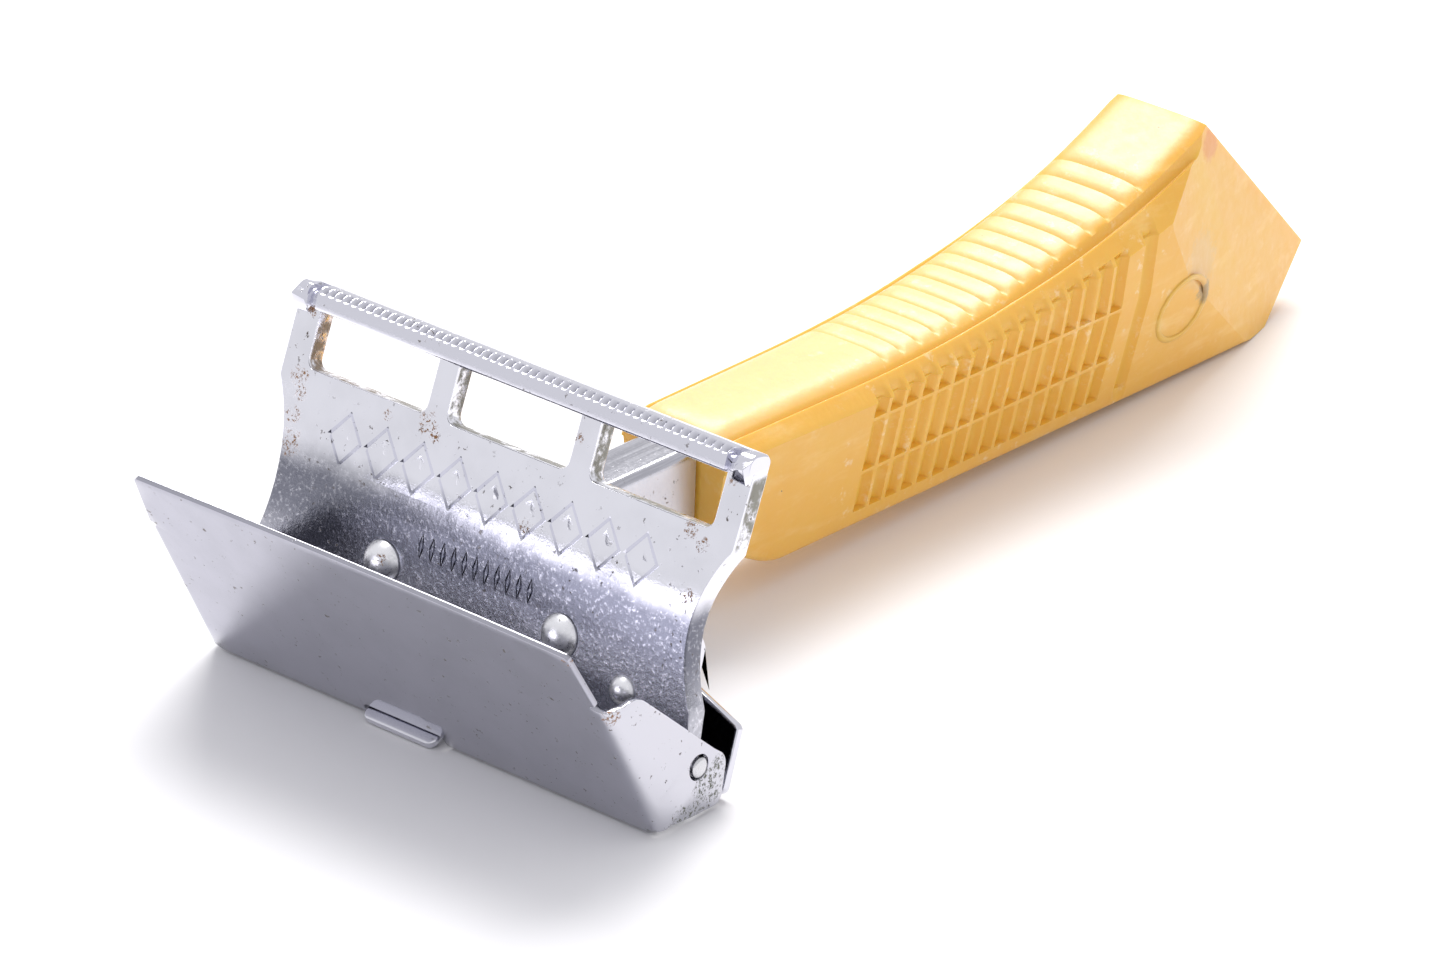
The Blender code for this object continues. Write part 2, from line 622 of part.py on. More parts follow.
def handle(look, frame):
    rows = [HANDLE_FRONT_Y, HANDLE_FRONT_Y + 0.5, HANDLE_FRONT_Y + 1.2]
    rows += [HANDLE_FRONT_Y + 2.0 + 1.6 * i for i in range(5)]
    rows += [FLARE_START_Y + 2.0 * i for i in range(int((TIP_Y + 2.0 - FLARE_START_Y) / 2.0) + 1)]
    bm = bmesh.new()
    rings = []
    for y in rows:
        right = handle_section(y)
        left = [(-x, z) for x, z in reversed(right[1:-1])]
        rings.append([bm.verts.new((x, y, z)) for x, z in right + left])
    for near, far in zip(rings, rings[1:]):
        for i in range(len(near)):
            j = (i + 1) % len(near)
            bm.faces.new((near[i], near[j], far[j], far[i]))
    bm.faces.new(rings[0])
    bm.faces.new(rings[-1])
    bmesh.ops.recalc_face_normals(bm, faces=bm.faces)
    corner = Vector(FACET_CORNER)
    rear_normal = Vector((0.0, corner.z - TIP_Z, TIP_Y - corner.y))
    heel_normal = Vector((0.0, TIP_Z - HANDLE_LOW_Z, HEEL_Y - TIP_Y))
    left_corner = Vector((-corner.x, corner.y, corner.z))
    left_normal = Vector((-FACET_NORMAL[0], FACET_NORMAL[1], FACET_NORMAL[2]))
    for point, normal in (
        (corner, rear_normal),
        (Vector((0.0, HEEL_Y, HANDLE_LOW_Z)), heel_normal),
        (corner, Vector(FACET_NORMAL)),
        (left_corner, left_normal),
    ):
        slice_off(bm, point, normal)
    made = new_object("handle", bm, look, frame)
    gap = SOCKET_GAP
    socket = box(
        (-TANG_HALF_WIDTH - gap, HANDLE_FRONT_Y - 2.0, TANG_LOW_Z - gap),
        (TANG_HALF_WIDTH + gap, TANG_END_Y + gap, TANG_TOP_Z + gap),
    )
    boolean(made, cutter("socket_cutter", socket, frame))
    smooth(made, 25.0)
    return made


def slice_off(bm, point, normal):
    """Removes what lies beyond a plane and closes the cut."""
    everything = bm.verts[:] + bm.edges[:] + bm.faces[:]
    cut = bmesh.ops.bisect_plane(
        bm, geom=everything, plane_co=point, plane_no=normal.normalized(), clear_outer=True, dist=1e-5
    )
    edges = [item for item in cut["geom_cut"] if isinstance(item, bmesh.types.BMEdge)]
    bmesh.ops.edgenet_fill(bm, edges=edges)


def stand_on_floor(frame, nodes):
    """Moves the frame so that the whole object's box stands on the floor, centred on the origin."""
    bpy.context.view_layer.update()
    graph = bpy.context.evaluated_depsgraph_get()
    corners = []
    for node in nodes:
        evaluated = node.evaluated_get(graph)
        corners += [evaluated.matrix_world @ vertex.co for vertex in evaluated.data.vertices]
    low = [min(corner[axis] for corner in corners) for axis in range(3)]
    high = [max(corner[axis] for corner in corners) for axis in range(3)]
    frame.location -= Vector(((low[0] + high[0]) / 2, (low[1] + high[1]) / 2, low[2]))
    bpy.context.view_layer.update()


def main():
    clear_scene()
    frame = bpy.data.objects.new("razor_frame", None)
    bpy.context.scene.collection.objects.link(frame)
    frame.rotation_euler = (REST_TILT, 0.0, 0.0)

    plating = material("chrome_plating", (0.74, 0.75, 0.78), 0.16, 1.0)
    cap_plating = material("cap_chrome", (0.62, 0.62, 0.68), 0.2, 1.0)
    spring_steel = material("spring_steel", (0.5, 0.5, 0.53), 0.25, 1.0)
    pin_steel = material("pin_steel", (0.66, 0.66, 0.68), 0.3, 1.0)
    plastic = material("yellow_plastic", (0.93, 0.66, 0.22), 0.38, 0.0)

    # The cap turns about the hinge axis, so it hangs from an empty that lies on it.
    hinge = bpy.data.objects.new("cap_hinge_axis", None)
    bpy.context.scene.collection.objects.link(hinge)
    hinge.parent = frame
    hinge.location = (0.0, PIN_Y * MM, PIN_Z * MM)

    nodes = [guard_plate(plating, frame), neck(plating, frame), handle(plastic, frame)]
    cap_node = cap(cap_plating, frame)
    cap_node.parent = hinge
    cap_node.matrix_parent_inverse = Matrix.Translation(hinge.location).inverted()
    nodes += [cap_node, spring_plate(spring_steel, frame)]
    for side, word in ((-1, "left"), (1, "right")):
        nodes.append(hinge_pin(side, pin_steel, frame))
        nodes.append(rivet(LARGE_RIVET, f"large_rivet_{word}", side, plating, frame))
        nodes.append(rivet(SMALL_RIVET, f"small_rivet_{word}", side, plating, frame))
    stand_on_floor(frame, nodes)


main()
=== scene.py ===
"""Looks for the single-edge safety razor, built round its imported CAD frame.

Shapes are drawn in millimetres of the razor's own design frame, as in its CAD source: +X to its right,
+Y from the head to the handle's end, +Z away from the underside. The origin is where the windows' top edge
meets the front face of the guard plate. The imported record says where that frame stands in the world.
"""

import json
import math

import bmesh
import bpy
from mathutils import Matrix, Vector


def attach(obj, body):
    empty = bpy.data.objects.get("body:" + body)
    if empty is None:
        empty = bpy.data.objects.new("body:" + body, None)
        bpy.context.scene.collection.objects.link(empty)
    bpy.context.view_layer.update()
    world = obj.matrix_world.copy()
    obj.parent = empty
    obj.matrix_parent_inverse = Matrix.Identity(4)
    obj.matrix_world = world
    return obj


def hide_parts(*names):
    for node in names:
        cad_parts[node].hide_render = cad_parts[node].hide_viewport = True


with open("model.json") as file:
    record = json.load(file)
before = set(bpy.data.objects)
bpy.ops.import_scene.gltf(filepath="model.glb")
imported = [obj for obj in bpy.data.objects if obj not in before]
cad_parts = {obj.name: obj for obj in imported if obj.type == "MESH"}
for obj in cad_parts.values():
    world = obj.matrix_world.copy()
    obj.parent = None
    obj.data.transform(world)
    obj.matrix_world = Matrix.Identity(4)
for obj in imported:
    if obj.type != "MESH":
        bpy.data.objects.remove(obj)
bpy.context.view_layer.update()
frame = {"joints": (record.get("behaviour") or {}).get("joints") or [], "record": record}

MM = 0.001

# Guard plate, as in the CAD source.
PLATE_THICK = 1.7
PLATE_HALF_WIDTH = 20.75
UPPER_LEAN = math.radians(20.5)
LOWER_LEAN = math.radians(8.0)
BEND_START = 8.0
BEND_LENGTH = 8.0
PLATE_LENGTH = 22.0
SHOULDER_AT = 5.3
WAIST_AT = 11.3
WAIST_HALF_WIDTH = 18.95
HIP_AT = 16.8
HIP_HALF_WIDTH = 20.12
WINDOW_TOP, WINDOW_BOTTOM = 0.15, 4.2
WINDOW_OUTER, BAR_OUTER, BAR_INNER = 18.6, 7.42, 5.58
WINDOW_CORNER = 0.75
GUARD_TEETH = 53
BLADE_LENGTH = 38.1
TOOTH_DEPTH, TOOTH_SLANT, TOOTH_STEPS = 0.36, -0.15, 8

# Ornament engraved in the plate: a row of lozenges and a row of strokes, placed along X and down the plate.
LOZENGE_COUNT, LOZENGE_START, LOZENGE_PITCH, LOZENGE_DOWN = 9, -13.6, 3.4, 7.9
STROKE_COUNT, STROKE_START, STROKE_PITCH, STROKE_DOWN = 11, -5.0, 1.0, 12.9

# Hinge, cap and spring.
PIN_Y, PIN_Z = -4.58, -19.77
PIN_RADIUS = 0.82
SHEET = 0.55
CAP_LEAN = math.radians(28.6)
CAP_LOW_Y, CAP_LOW_Z = -8.3, -23.95
CAP_LENGTH = 18.6
CAP_LOW_HALF = 20.7
CAP_FREE_HALF = 19.85
CAP_CROWN = 0.16
EAR_TOP = 13.6
EAR_OUTER = 20.9
EAR_BEND = 1.0
HEM_RADIUS = 0.62
LEAF = 0.62
LEAF_HALF_WIDTH = 20.6
LEAF_TOP_Y, LEAF_TOP_Z = 0.75, -17.2
LEAF_LOW_Y, LEAF_LOW_Z = -1.12, -23.3
LEAF_SLOPE = (LEAF_TOP_Y - LEAF_LOW_Y) / (LEAF_TOP_Z - LEAF_LOW_Z)
LEAF_SHOULDER = 16.1
LEAF_CORNER_Z = -18.6
TAB_INNER = 11.6
TAB_TOP_Z = -14.9
HOOK_CENTRE_X = -2.2
HOOK_WIDTH = 6.6
HOOK_THICK = 0.55
HOOK_TOP = 1.1
HOOK_REACH = 0.85
HOOK_CORNER = 0.7
NOTCH_TOP = 1.25
NOTCH_CLEARANCE = 0.35

# Rivets: (half distance apart, distance down the plate, dome radius, dome height, shank radius)
LARGE_RIVET = (8.2, 15.05, 1.58, 1.1, 0.8)
SMALL_RIVET = (14.2, 17.0, 1.05, 0.8, 0.55)
STACK_GAP = 0.12
TAIL_HEIGHT = 0.4

# Neck.
NECK_HALF_WIDTH = 2.3
NECK_TOP_Z = -9.0
NECK_LOW_Z = -16.3
NECK_SHEET = 0.9
NECK_SHOULDER = 0.75
FLANGE_THICK = 0.9
FLANGE_HALF_WIDTH = 10.6
FLANGE_TOP = 12.2
FLANGE_LOW = 17.2
FLANGE_CORNER = 1.2

# Handle.
HANDLE_FRONT_Y = 16.2
HANDLE_LOW_Z = -20.3
HANDLE_TOP_Z = -9.0
FLARE_START_Y = 28.0
FLARE_Y = 42.5
FLARE_RISE = 8.1
FLARE_POWER = 2.5
CROWN = 1.4
TAPER_LENGTH = 54.0
# The shoulders and the grooves' outer lips fall away towards the handle's end.
SHOULDER_DROP, SHOULDER_TAPER = 0.5, 0.85
SHOULDER_FALL, SHOULDER_FALL_Y, SHOULDER_FALL_LENGTH = 1.1, 54.0, 16.0
LIP_HEIGHT, LIP_FALL, LIP_FALL_Y, LIP_FALL_LENGTH = 0.5, 0.75, 48.0, 22.0
FACET_CORNER = (3.9, 71.3, -1.2)
FACET_NORMAL = (0.964, 0.258, 0.066)
TIP_Y, TIP_Z = 88.0, -16.0
HEEL_Y = 81.0
# Faces larger than this, in square millimetres, are the handle's flat facets.
FLAT_AREA = 12.0

# The handle's grips: ribs across the top, and three rows of cells down each side.
RIB_COUNT = 16
RIB_START, RIB_PITCH, RIB_DEPTH = 34.6, 1.87, 0.26
CELL_COUNT = 16
CELL_START, CELL_PITCH, CELL_DEPTH = 31.9, 1.74, 0.58
CELL_ROWS_Z = (-11.2, -15.6, -18.95)
SLOT_Y, SLOT_WIDTH, SLOT_DEPTH = 61.2, 1.45, 0.6
# Where on the sloping shoulder the cells begin, from 0 at its top to 1 at the wall, along Y.
CELL_REACH = ((46.0, 0.45), (59.5, 0.8), (61.0, 0.5))
RIB_SHAPE = ((0.0, 0.0), (0.07, 0.8), (0.14, 1.0), (0.22, 0.6), (0.38, 0.2), (0.6, 0.0))
CELL_SHAPE = ((0.0, 0.0), (0.06, 0.85), (0.12, 1.0), (0.58, 0.95), (0.7, 0.55), (0.8, 0.0))
SLOT_SHAPE = ((0.0, 0.0), (0.2, 0.9), (0.4, 1.0), (0.75, 0.8), (1.0, 0.0))
RING_Y, RING_Z, RING_RADIUS, RING_TUBE, RING_HEIGHT = 67.3, -13.7, 2.6, 0.26, 0.16
RING_LEAN = math.radians(9.0)

# Camera, in the design frame.
AIM = (-2.37, 24.4, -15.94)
AZIMUTH = math.radians(40.13)
ELEVATION = math.radians(25.05)
ROLL = math.radians(1.98)
CAMERA_DISTANCE = 607.9
LENS = 214.2

# Light, in metres and watts.
WORLD_COLOUR, WORLD_STRENGTH = (0.97, 0.97, 1.0), 0.84
KEY_PLACE, KEY_TARGET, KEY_SIZE = (-0.27, 0.30, 0.62), (0.0, 0.0, 0.01), 0.46
KEY_COLOUR, KEY_POWER = (1.0, 0.985, 0.97), 5.2

# Colours of what lies on the plating, and of reflection and shade painted on it.
PIT_COLOUR = (0.13, 0.11, 0.10)
RUST_COLOUR = (0.30, 0.13, 0.035)
VERDIGRIS_COLOUR = (0.09, 0.10, 0.06)
STREAK_COLOUR = (0.30, 0.30, 0.34)
# Painted dark reflection on the guard plate's lower part, with a mottled grain.
MOTTLED_DARK_REFLECTION_COLOUR = (0.16, 0.165, 0.20)
# A duller tone painted on the guard bar, standing in for a darker reflection.
BAR_PAINTED_REFLECTION_COLOUR = (0.74, 0.74, 0.81)
# Painted shade in the notches between the guard's teeth.
NOTCH_SHADE_COLOUR = (0.20, 0.20, 0.25)
AMBER_LEFT, AMBER_RIGHT = (0.22, 0.14, 0.06), (0.20, 0.19, 0.14)
# Heights along Z over which the painted dark reflection fades out upwards.
DARK_REFLECTION_Z = (-9.6, -6.9)

# Rust on the plate as (X, distance down the plate, radius); elsewhere as (place, radius).
PLATE_RUST = (
    (-18.9, 4.9, 0.7), (-18.4, 6.0, 0.5), (-6.9, 4.7, 0.8), (-6.2, 5.3, 0.5), (17.0, 4.7, 0.6),
    (18.2, 5.4, 0.5), (17.7, 1.0, 0.3), (19.3, 0.6, 0.35), (-19.2, 0.4, 0.4), (5.9, 1.8, 0.4),
    (-18.3, 9.6, 0.9), (-18.6, 7.6, 0.6), (3.4, 8.8, 0.5), (18.2, 9.0, 0.5), (-10.5, 5.2, 0.35),
)
CAP_RUST = (((19.6, -16.8, -8.0), 0.35), ((21.0, -13.6, -12.8), 0.7))
CAP_VERDIGRIS = (
    ((20.9, -3.6, -21.5), 1.3), ((20.9, -6.3, -23.2), 1.0),
    ((20.9, -4.4, -23.0), 0.9), ((20.9, -2.6, -20.0), 0.6),
)
RIVET_RUST = (((-7.6, -5.6, -13.6), 0.5),)


def design_frame():
    """Design millimetres to the world, placed by the hinge, and their tilt, from a mount's axis."""
    seat = next(mount for mount in frame["record"]["mounts"] if mount["name"] == "blade_seat")
    tilt = UPPER_LEAN - math.atan2(seat["axis"][2], -seat["axis"][1])
    turned = Matrix.Rotation(tilt, 4, "X") @ Matrix.Scale(MM, 4)
    hinge = Vector(frame["joints"][0]["pos_m"])
    return Matrix.Translation(hinge - turned @ Vector((0.0, PIN_Y, PIN_Z))) @ turned, tilt


PLACE, TILT = design_frame()


# --- Materials ---


class Look:
    """A material whose patterns are drawn in the design frame's millimetres."""

    def __init__(self, name):
        self.material = bpy.data.materials.new(name)
        self.material.use_nodes = True
        self.nodes = self.material.node_tree.nodes
        self.links = self.material.node_tree.links
        self.shader = self.nodes["Principled BSDF"]
        coords = self.node("TexCoord", {}).outputs["Object"]
        place = {"Vector": coords, "Scale": (1.0 / MM,) * 3, "Rotation": (-TILT, 0.0, 0.0)}
        place["Location"] = PLACE.inverted().translation
        self.where = self.node("Mapping", place).outputs["Vector"]

    def put(self, value, socket):
        if isinstance(value, bpy.types.NodeSocket):
            self.links.new(value, socket)
        elif socket.type == "RGBA":
            socket.default_value = (*value, 1.0)
        else:
            socket.default_value = value

    def node(self, kind, inputs, **settings):
        """A new node with its settings made and its inputs linked or set."""
        made = self.nodes.new("ShaderNode" + kind)
        for name, value in settings.items():
            setattr(made, name, value)
        for name, value in inputs.items():
            self.put(value, made.inputs[name])
        return made

    def math(self, operation, first, second=0.0, clamp=False):
        return self.node("Math", {0: first, 1: second}, operation=operation, use_clamp=clamp).outputs[0]

    def fold(self, operation, values):
        found, *others = values
        for value in others:
            found = self.math(operation, found, value)
        return found

    def times(self, *values):
        return self.fold("MULTIPLY", values)

    def plus(self, first, second):
        return self.math("ADD", first, second)

    def minus(self, first, second, clamp=False):
        return self.math("SUBTRACT", first, second, clamp)

    def noise(self, scale, detail=3.0, roughness=0.55, stretch=(1.0, 1.0, 1.0), shift=(0.0, 0.0, 0.0)):
        """A noise value, with about this many features to a millimetre."""
        moved = self.node("Mapping", {"Vector": self.where, "Scale": stretch, "Location": shift})
        inputs = {"Vector": moved.outputs["Vector"], "Scale": scale}
        inputs |= {"Detail": detail, "Roughness": roughness}
        return self.node("TexNoise", inputs).outputs["Fac"]

    def step(self, value, low, high, to_low=0.0, to_high=1.0):
        """A smooth step from to_low, at low, to to_high, at high."""
        inputs = {"Value": value, "From Min": low, "From Max": high, "To Min": to_low, "To Max": to_high}
        return self.node("MapRange", inputs, interpolation_type="SMOOTHSTEP").outputs["Result"]

    def axis(self, name):
        return self.node("SeparateXYZ", {0: self.where}).outputs[name]

    def near(self, point, radius, ragged=1.1):
        """1 near a point of the design frame and 0 beyond the radius, with a ragged edge."""
        gap = self.node("VectorMath", {0: self.where, 1: point}, operation="DISTANCE").outputs["Value"]
        reach = self.plus(gap, self.times(self.noise(1.6, 4.0, 0.7, shift=point), 2.0 * ragged * radius))
        return self.step(reach, (0.75 + ragged) * radius, (1.25 + ragged) * radius, 1.0, 0.0)

    def attribute(self, name):
        return self.node("Attribute", {}, attribute_name=name).outputs["Fac"]

    def mix(self, share, first, second):
        return self.node("Mix", {"Factor": share, 6: first, 7: second}, data_type="RGBA").outputs[2]

    def bump(self, height, distance, below=None):
        """Normals from a height; distance is what a height of 1 stands for, in millimetres."""
        inputs = {"Distance": distance * MM, "Height": height}
        if below:
            inputs["Normal"] = below
        return self.node("Bump", inputs).outputs["Normal"]

    def finish(self, colour, roughness, normal, metallic=0.0):
        inputs = {"Base Color": colour, "Roughness": roughness, "Metallic": metallic, "Normal": normal}
        for name, value in inputs.items():
            self.put(value, self.shader.inputs[name])
        return self.material


def plate_wear(look, shade, rough, height):
    """The guard plate's foot painted dark as a mottled reflection, its bar painted duller as a reflection,
    shade painted between its teeth, and the amber stain on its windows' walls.

    Gives the new shade, roughness and height, and how much the stain hides the metal.
    """
    z = look.axis("Z")
    # Below these heights the plate is painted dark, standing in for a reflection, with a mottled grain and
    # paler again towards the bottom.
    wander = look.plus(z, look.times(look.noise(0.3, 3.0), 2.0))
    patch = look.step(wander, *DARK_REFLECTION_Z, 1.0, 0.0)
    lift = look.step(z, -17.0, -12.5, 0.4, 0.0)
    grain = look.noise(3.4, 5.0, 0.7, shift=(3.0, 1.0, 5.0))
    light = look.plus(lift, look.step(grain, 0.5, 0.72, 0.0, 0.42))
    shade = look.mix(look.times(patch, look.minus(1.0, light, clamp=True)), shade, MOTTLED_DARK_REFLECTION_COLOUR)
    height = look.plus(height, look.times(grain, patch, 0.9))
    rough = look.plus(rough, look.times(patch, 0.07))
    # The bar is painted a duller tone, as a reflection.
    shade = look.mix(look.step(z, 0.05, 0.35), shade, BAR_PAINTED_REFLECTION_COLOUR)
    # Shade painted into the teeth's notches, darkest at their bottom.
    shade = look.mix(look.times(look.attribute("notch"), 0.6), shade, NOTCH_SHADE_COLOUR)
    depth = look.times(look.axis("Y"), math.cos(UPPER_LEAN))
    depth = look.minus(depth, look.times(z, math.sin(UPPER_LEAN)))
    walls = look.times(
        look.step(depth, 0.15, 0.4),
        look.step(depth, 1.6, 1.5),
        look.step(z, -5.2, -4.4),
        look.step(z, -0.1, -0.5),
        look.step(look.noise(0.8, 4.0, 0.7), 0.36, 0.56),
    )
    amber = look.mix(look.step(look.axis("X"), -15.0, -8.0), AMBER_LEFT, AMBER_RIGHT)
    dull = look.times(walls, 0.9)
    shade = look.mix(dull, shade, amber)
    return shade, look.plus(rough, look.times(walls, 0.3)), height, dull


def chrome(name, colour, roughness, pits=0.4, rust=(), green=(), **also):
    """Old bright plating: fine waviness, pits, brown rust and green verdigris where they are listed.

    The other names are a part's own: its wear with painted reflection and shade, streaks, ears, dark faces
    and inner face; the tones for the ears, dark faces and inner face are painted light and shade.
    """
    look = Look(name)
    cloud = look.noise(0.25, 3.0)
    speck = look.noise(1.9, 5.0, 0.6)
    fine = look.noise(5.5, 3.0, 0.6)
    low_cut = 0.70 - 0.05 * pits
    pit = look.times(look.step(speck, low_cut, low_cut + 0.05), look.step(cloud, 0.38, 0.6))
    tint = tuple(0.93 * part for part in colour)
    shade = look.mix(look.step(cloud, 0.35, 0.7), colour, tint)
    rough = look.step(fine, 0.3, 0.8, roughness * 0.7, roughness * 1.5)
    height = look.times(fine, 0.25)
    normal = look.bump(look.noise(0.35, 2.0), 0.025)
    dull = 0.0
    # The part's own wear, with reflection and shade painted in as well.
    if "wear" in also:
        shade, rough, height, dull = also["wear"](look, shade, rough, height)
    if "streaks" in also:
        line = look.noise(0.9, 4.0, 0.6, stretch=(3.0, 0.08, 3.0))
        above = look.step(look.axis("Z"), -9.9, -9.3)
        rough = look.plus(rough, look.times(look.minus(1.0, above), 0.28))
        lines = look.times(above, look.step(line, 0.35, 0.65, 0.0, also["streaks"]))
        shade = look.mix(lines, shade, STREAK_COLOUR)
    # The ears take a lighter tone than the cap's face on the same sheet: painted light.
    if "ears" in also:
        across = look.math("ABSOLUTE", look.axis("X"))
        shade = look.mix(look.step(across, 20.3, 20.8), shade, also["ears"])
    # Faces painted near black, standing in for a dark reflection.
    if "dark_faces" in also:
        shade = look.mix(look.step(look.attribute("dark"), 0.3, 0.8), shade, also["dark_faces"])
    # The cap's inner face is painted dark, standing in for shade and a dark reflection.
    if "inner" in also:
        shade = look.mix(look.step(look.attribute("inner"), 0.4, 0.9), shade, also["inner"])
    shade = look.mix(pit, shade, PIT_COLOUR)
    metal = look.minus(look.minus(1.0, look.times(pit, 0.5)), dull, clamp=True)
    for spots, brown in ((rust, RUST_COLOUR), (green, VERDIGRIS_COLOUR)):
        if not spots:
            continue
        mask = look.fold("MAXIMUM", [look.near(point, radius) for point, radius in spots])
        crumbs = look.step(look.noise(4.5, 4.0, 0.75, shift=(9.0, 2.0, 4.0)), 0.5, 0.6)
        mask = look.times(mask, crumbs)
        shade = look.mix(mask, shade, brown)
        metal = look.minus(metal, mask, clamp=True)
        rough = look.plus(rough, look.times(mask, 0.45))
        height = look.plus(height, look.times(mask, 0.8))
    height = look.minus(height, look.times(pit, 0.7))
    return look.finish(shade, rough, look.bump(height, 0.02, normal), metal)


def yellow_plastic():
    """Old cast plastic: butter yellow, deeper in its grooves, with bleached patches and handling marks, and
    a paler top painted as sheen, partly bleaching.
    """
    look = Look("yellow_plastic_look")
    cloud = look.noise(0.12, 3.0, 0.6)
    colour = look.mix(look.step(cloud, 0.3, 0.7), (0.83, 0.46, 0.06), (0.815, 0.43, 0.05))
    # A paler top along the crown: painted sheen of the light, partly bleaching.
    crown = look.times(
        look.step(look.math("ABSOLUTE", look.axis("X")), 4.1, 2.9),
        look.step(look.axis("Y"), 70.5, 69.0),
        look.step(look.axis("Z"), -9.5, -8.5),
    )
    streak = look.noise(0.5, 4.0, 0.65, stretch=(1.0, 0.25, 1.0), shift=(4.0, 0.0, 1.0))
    patch = look.step(look.noise(0.7, 5.0, 0.7, shift=(1.0, 7.0, 2.0)), 0.57, 0.68)
    amber = look.fold("MAXIMUM", [look.near((side * 4.2, 71.0, -1.9), 1.3, 0.5) for side in (-1, 1)])
    scratch = look.noise(0.8, 6.0, 0.8, stretch=(0.4, 2.6, 0.7), shift=(2.0, 2.0, 8.0))
    speck = look.noise(1.5, 2.0, 0.5, shift=(6.0, 3.0, 3.0))
    for mask, strength, tint in (
        # The crown's paler tone is painted sheen, partly bleaching.
        (crown, 0.6, (0.93, 0.70, 0.36)),
        (look.step(streak, 0.5, 0.8), 0.5, (0.95, 0.67, 0.28)),
        (look.attribute("groove"), 0.8, (0.82, 0.49, 0.05)),
        (look.times(patch, look.attribute("ridge")), 0.32, (0.97, 0.90, 0.72)),
        (amber, 0.75, (0.72, 0.25, 0.03)),
        (look.near((6.0, RING_Y + 2.7, RING_Z + 0.6), 1.25, 0.7), 0.8, (0.30, 0.22, 0.12)),
        (look.near((6.2, RING_Y + 2.4, RING_Z + 3.2), 2.6, 0.7), 0.22, (0.55, 0.47, 0.36)),
        (look.step(scratch, 0.71, 0.76), 0.3, (0.62, 0.47, 0.25)),
        (look.step(speck, 0.78, 0.82), 1.0, (0.25, 0.16, 0.07)),
    ):
        colour = look.mix(look.times(mask, strength), colour, tint)
    rough = look.step(look.noise(0.9, 4.0), 0.3, 0.75, 0.34, 0.5)
    coarse = look.bump(look.noise(0.35, 3.0), 0.10)
    fine = look.bump(look.noise(2.2, 4.0, 0.6), 0.018, coarse)
    look.shader.inputs["Subsurface Weight"].default_value = 0.22
    look.shader.inputs["Subsurface Radius"].default_value = (1.0, 0.55, 0.12)
    look.shader.inputs["Subsurface Scale"].default_value = 1.4 * MM
    look.shader.inputs["Specular IOR Level"].default_value = 0.55
    look.shader.inputs["Coat Weight"].default_value = 0.35
    look.shader.inputs["Coat Roughness"].default_value = 0.28
    return look.finish(colour, rough, fine)


# --- Mesh helpers ---


def in_scene(name, data):
    obj = bpy.data.objects.new(name, data)
    bpy.context.scene.collection.objects.link(obj)
    return obj


def raw_object(name, bm):
    """An object whose mesh is still in design millimetres."""
    bmesh.ops.recalc_face_normals(bm, faces=bm.faces)
    mesh = bpy.data.meshes.new(name)
    bm.to_mesh(mesh)
    bm.free()
    return in_scene(name, mesh)


def applied(obj):
    """A bmesh of the object with its modifiers applied. The object is removed."""
    bpy.context.view_layer.update()
    graph = bpy.context.evaluated_depsgraph_get()
    bm = bmesh.new()
    bm.from_object(obj, graph)
    bpy.data.objects.remove(obj, do_unlink=True)
    return bm


def cut(bm, tool):
    body, other = raw_object("cut_body", bm), raw_object("cut_tool", tool)
    modifier = body.modifiers.new("cut", "BOOLEAN")
    modifier.object = other
    modifier.operation = "DIFFERENCE"
    modifier.solver = "EXACT"
    result = applied(body)
    bpy.data.objects.remove(other, do_unlink=True)
    return result


def rounded(bm, width, segments=3, angle=50.0):
    """The mesh with every edge sharper than the angle rounded off."""
    body = raw_object("to_round", bm)
    modifier = body.modifiers.new("round", "BEVEL")
    modifier.width = width
    modifier.segments = segments
    modifier.limit_method = "ANGLE"
    modifier.angle_limit = math.radians(angle)
    modifier.use_clamp_overlap = False
    return applied(body)


def joined(parts):
    whole = bmesh.new()
    for part in parts:
        mesh = bpy.data.meshes.new("joining")
        part.to_mesh(mesh)
        part.free()
        whole.from_mesh(mesh)
        bpy.data.meshes.remove(mesh)
    return whole


def piece(name, bm, look, node, body="razor_body", sharp=32.0):
    """A finished piece of the razor, set in the world, riding on its body and standing for its CAD node."""
    bm.transform(PLACE)
    obj = raw_object(name, bm)
    obj.data.materials.append(look)
    obj.data.shade_smooth()
    obj.data.set_sharp_from_angle(angle=math.radians(sharp))
    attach(obj, body)
    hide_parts(node)
    return obj


def prism(loop, low, high, axis="X"):
    """A closed outline pushed along an axis, from low to high."""
    order = {"X": lambda t, p: (t, p[0], p[1]), "Z": lambda t, p: (p[0], p[1], t)}[axis]
    bm = bmesh.new()
    face = bm.faces.new([bm.verts.new(order(low, point)) for point in loop])
    pushed = bmesh.ops.extrude_face_region(bm, geom=[face])
    moved = [item for item in pushed["geom"] if isinstance(item, bmesh.types.BMVert)]
    bmesh.ops.translate(bm, vec=Vector(order(high - low, (0.0, 0.0))), verts=moved)
    bmesh.ops.recalc_face_normals(bm, faces=bm.faces)
    return bm


def arc(centre, radius, start, end, steps):
    points = []
    for step in range(steps + 1):
        angle = math.radians(start + (end - start) * step / steps)
        points.append((centre[0] + radius * math.cos(angle), centre[1] + radius * math.sin(angle)))
    return points


def mirrored(points):
    """The outline's other half: its points across the middle, in reverse."""
    return [(-x, y) for x, y in reversed(points)]


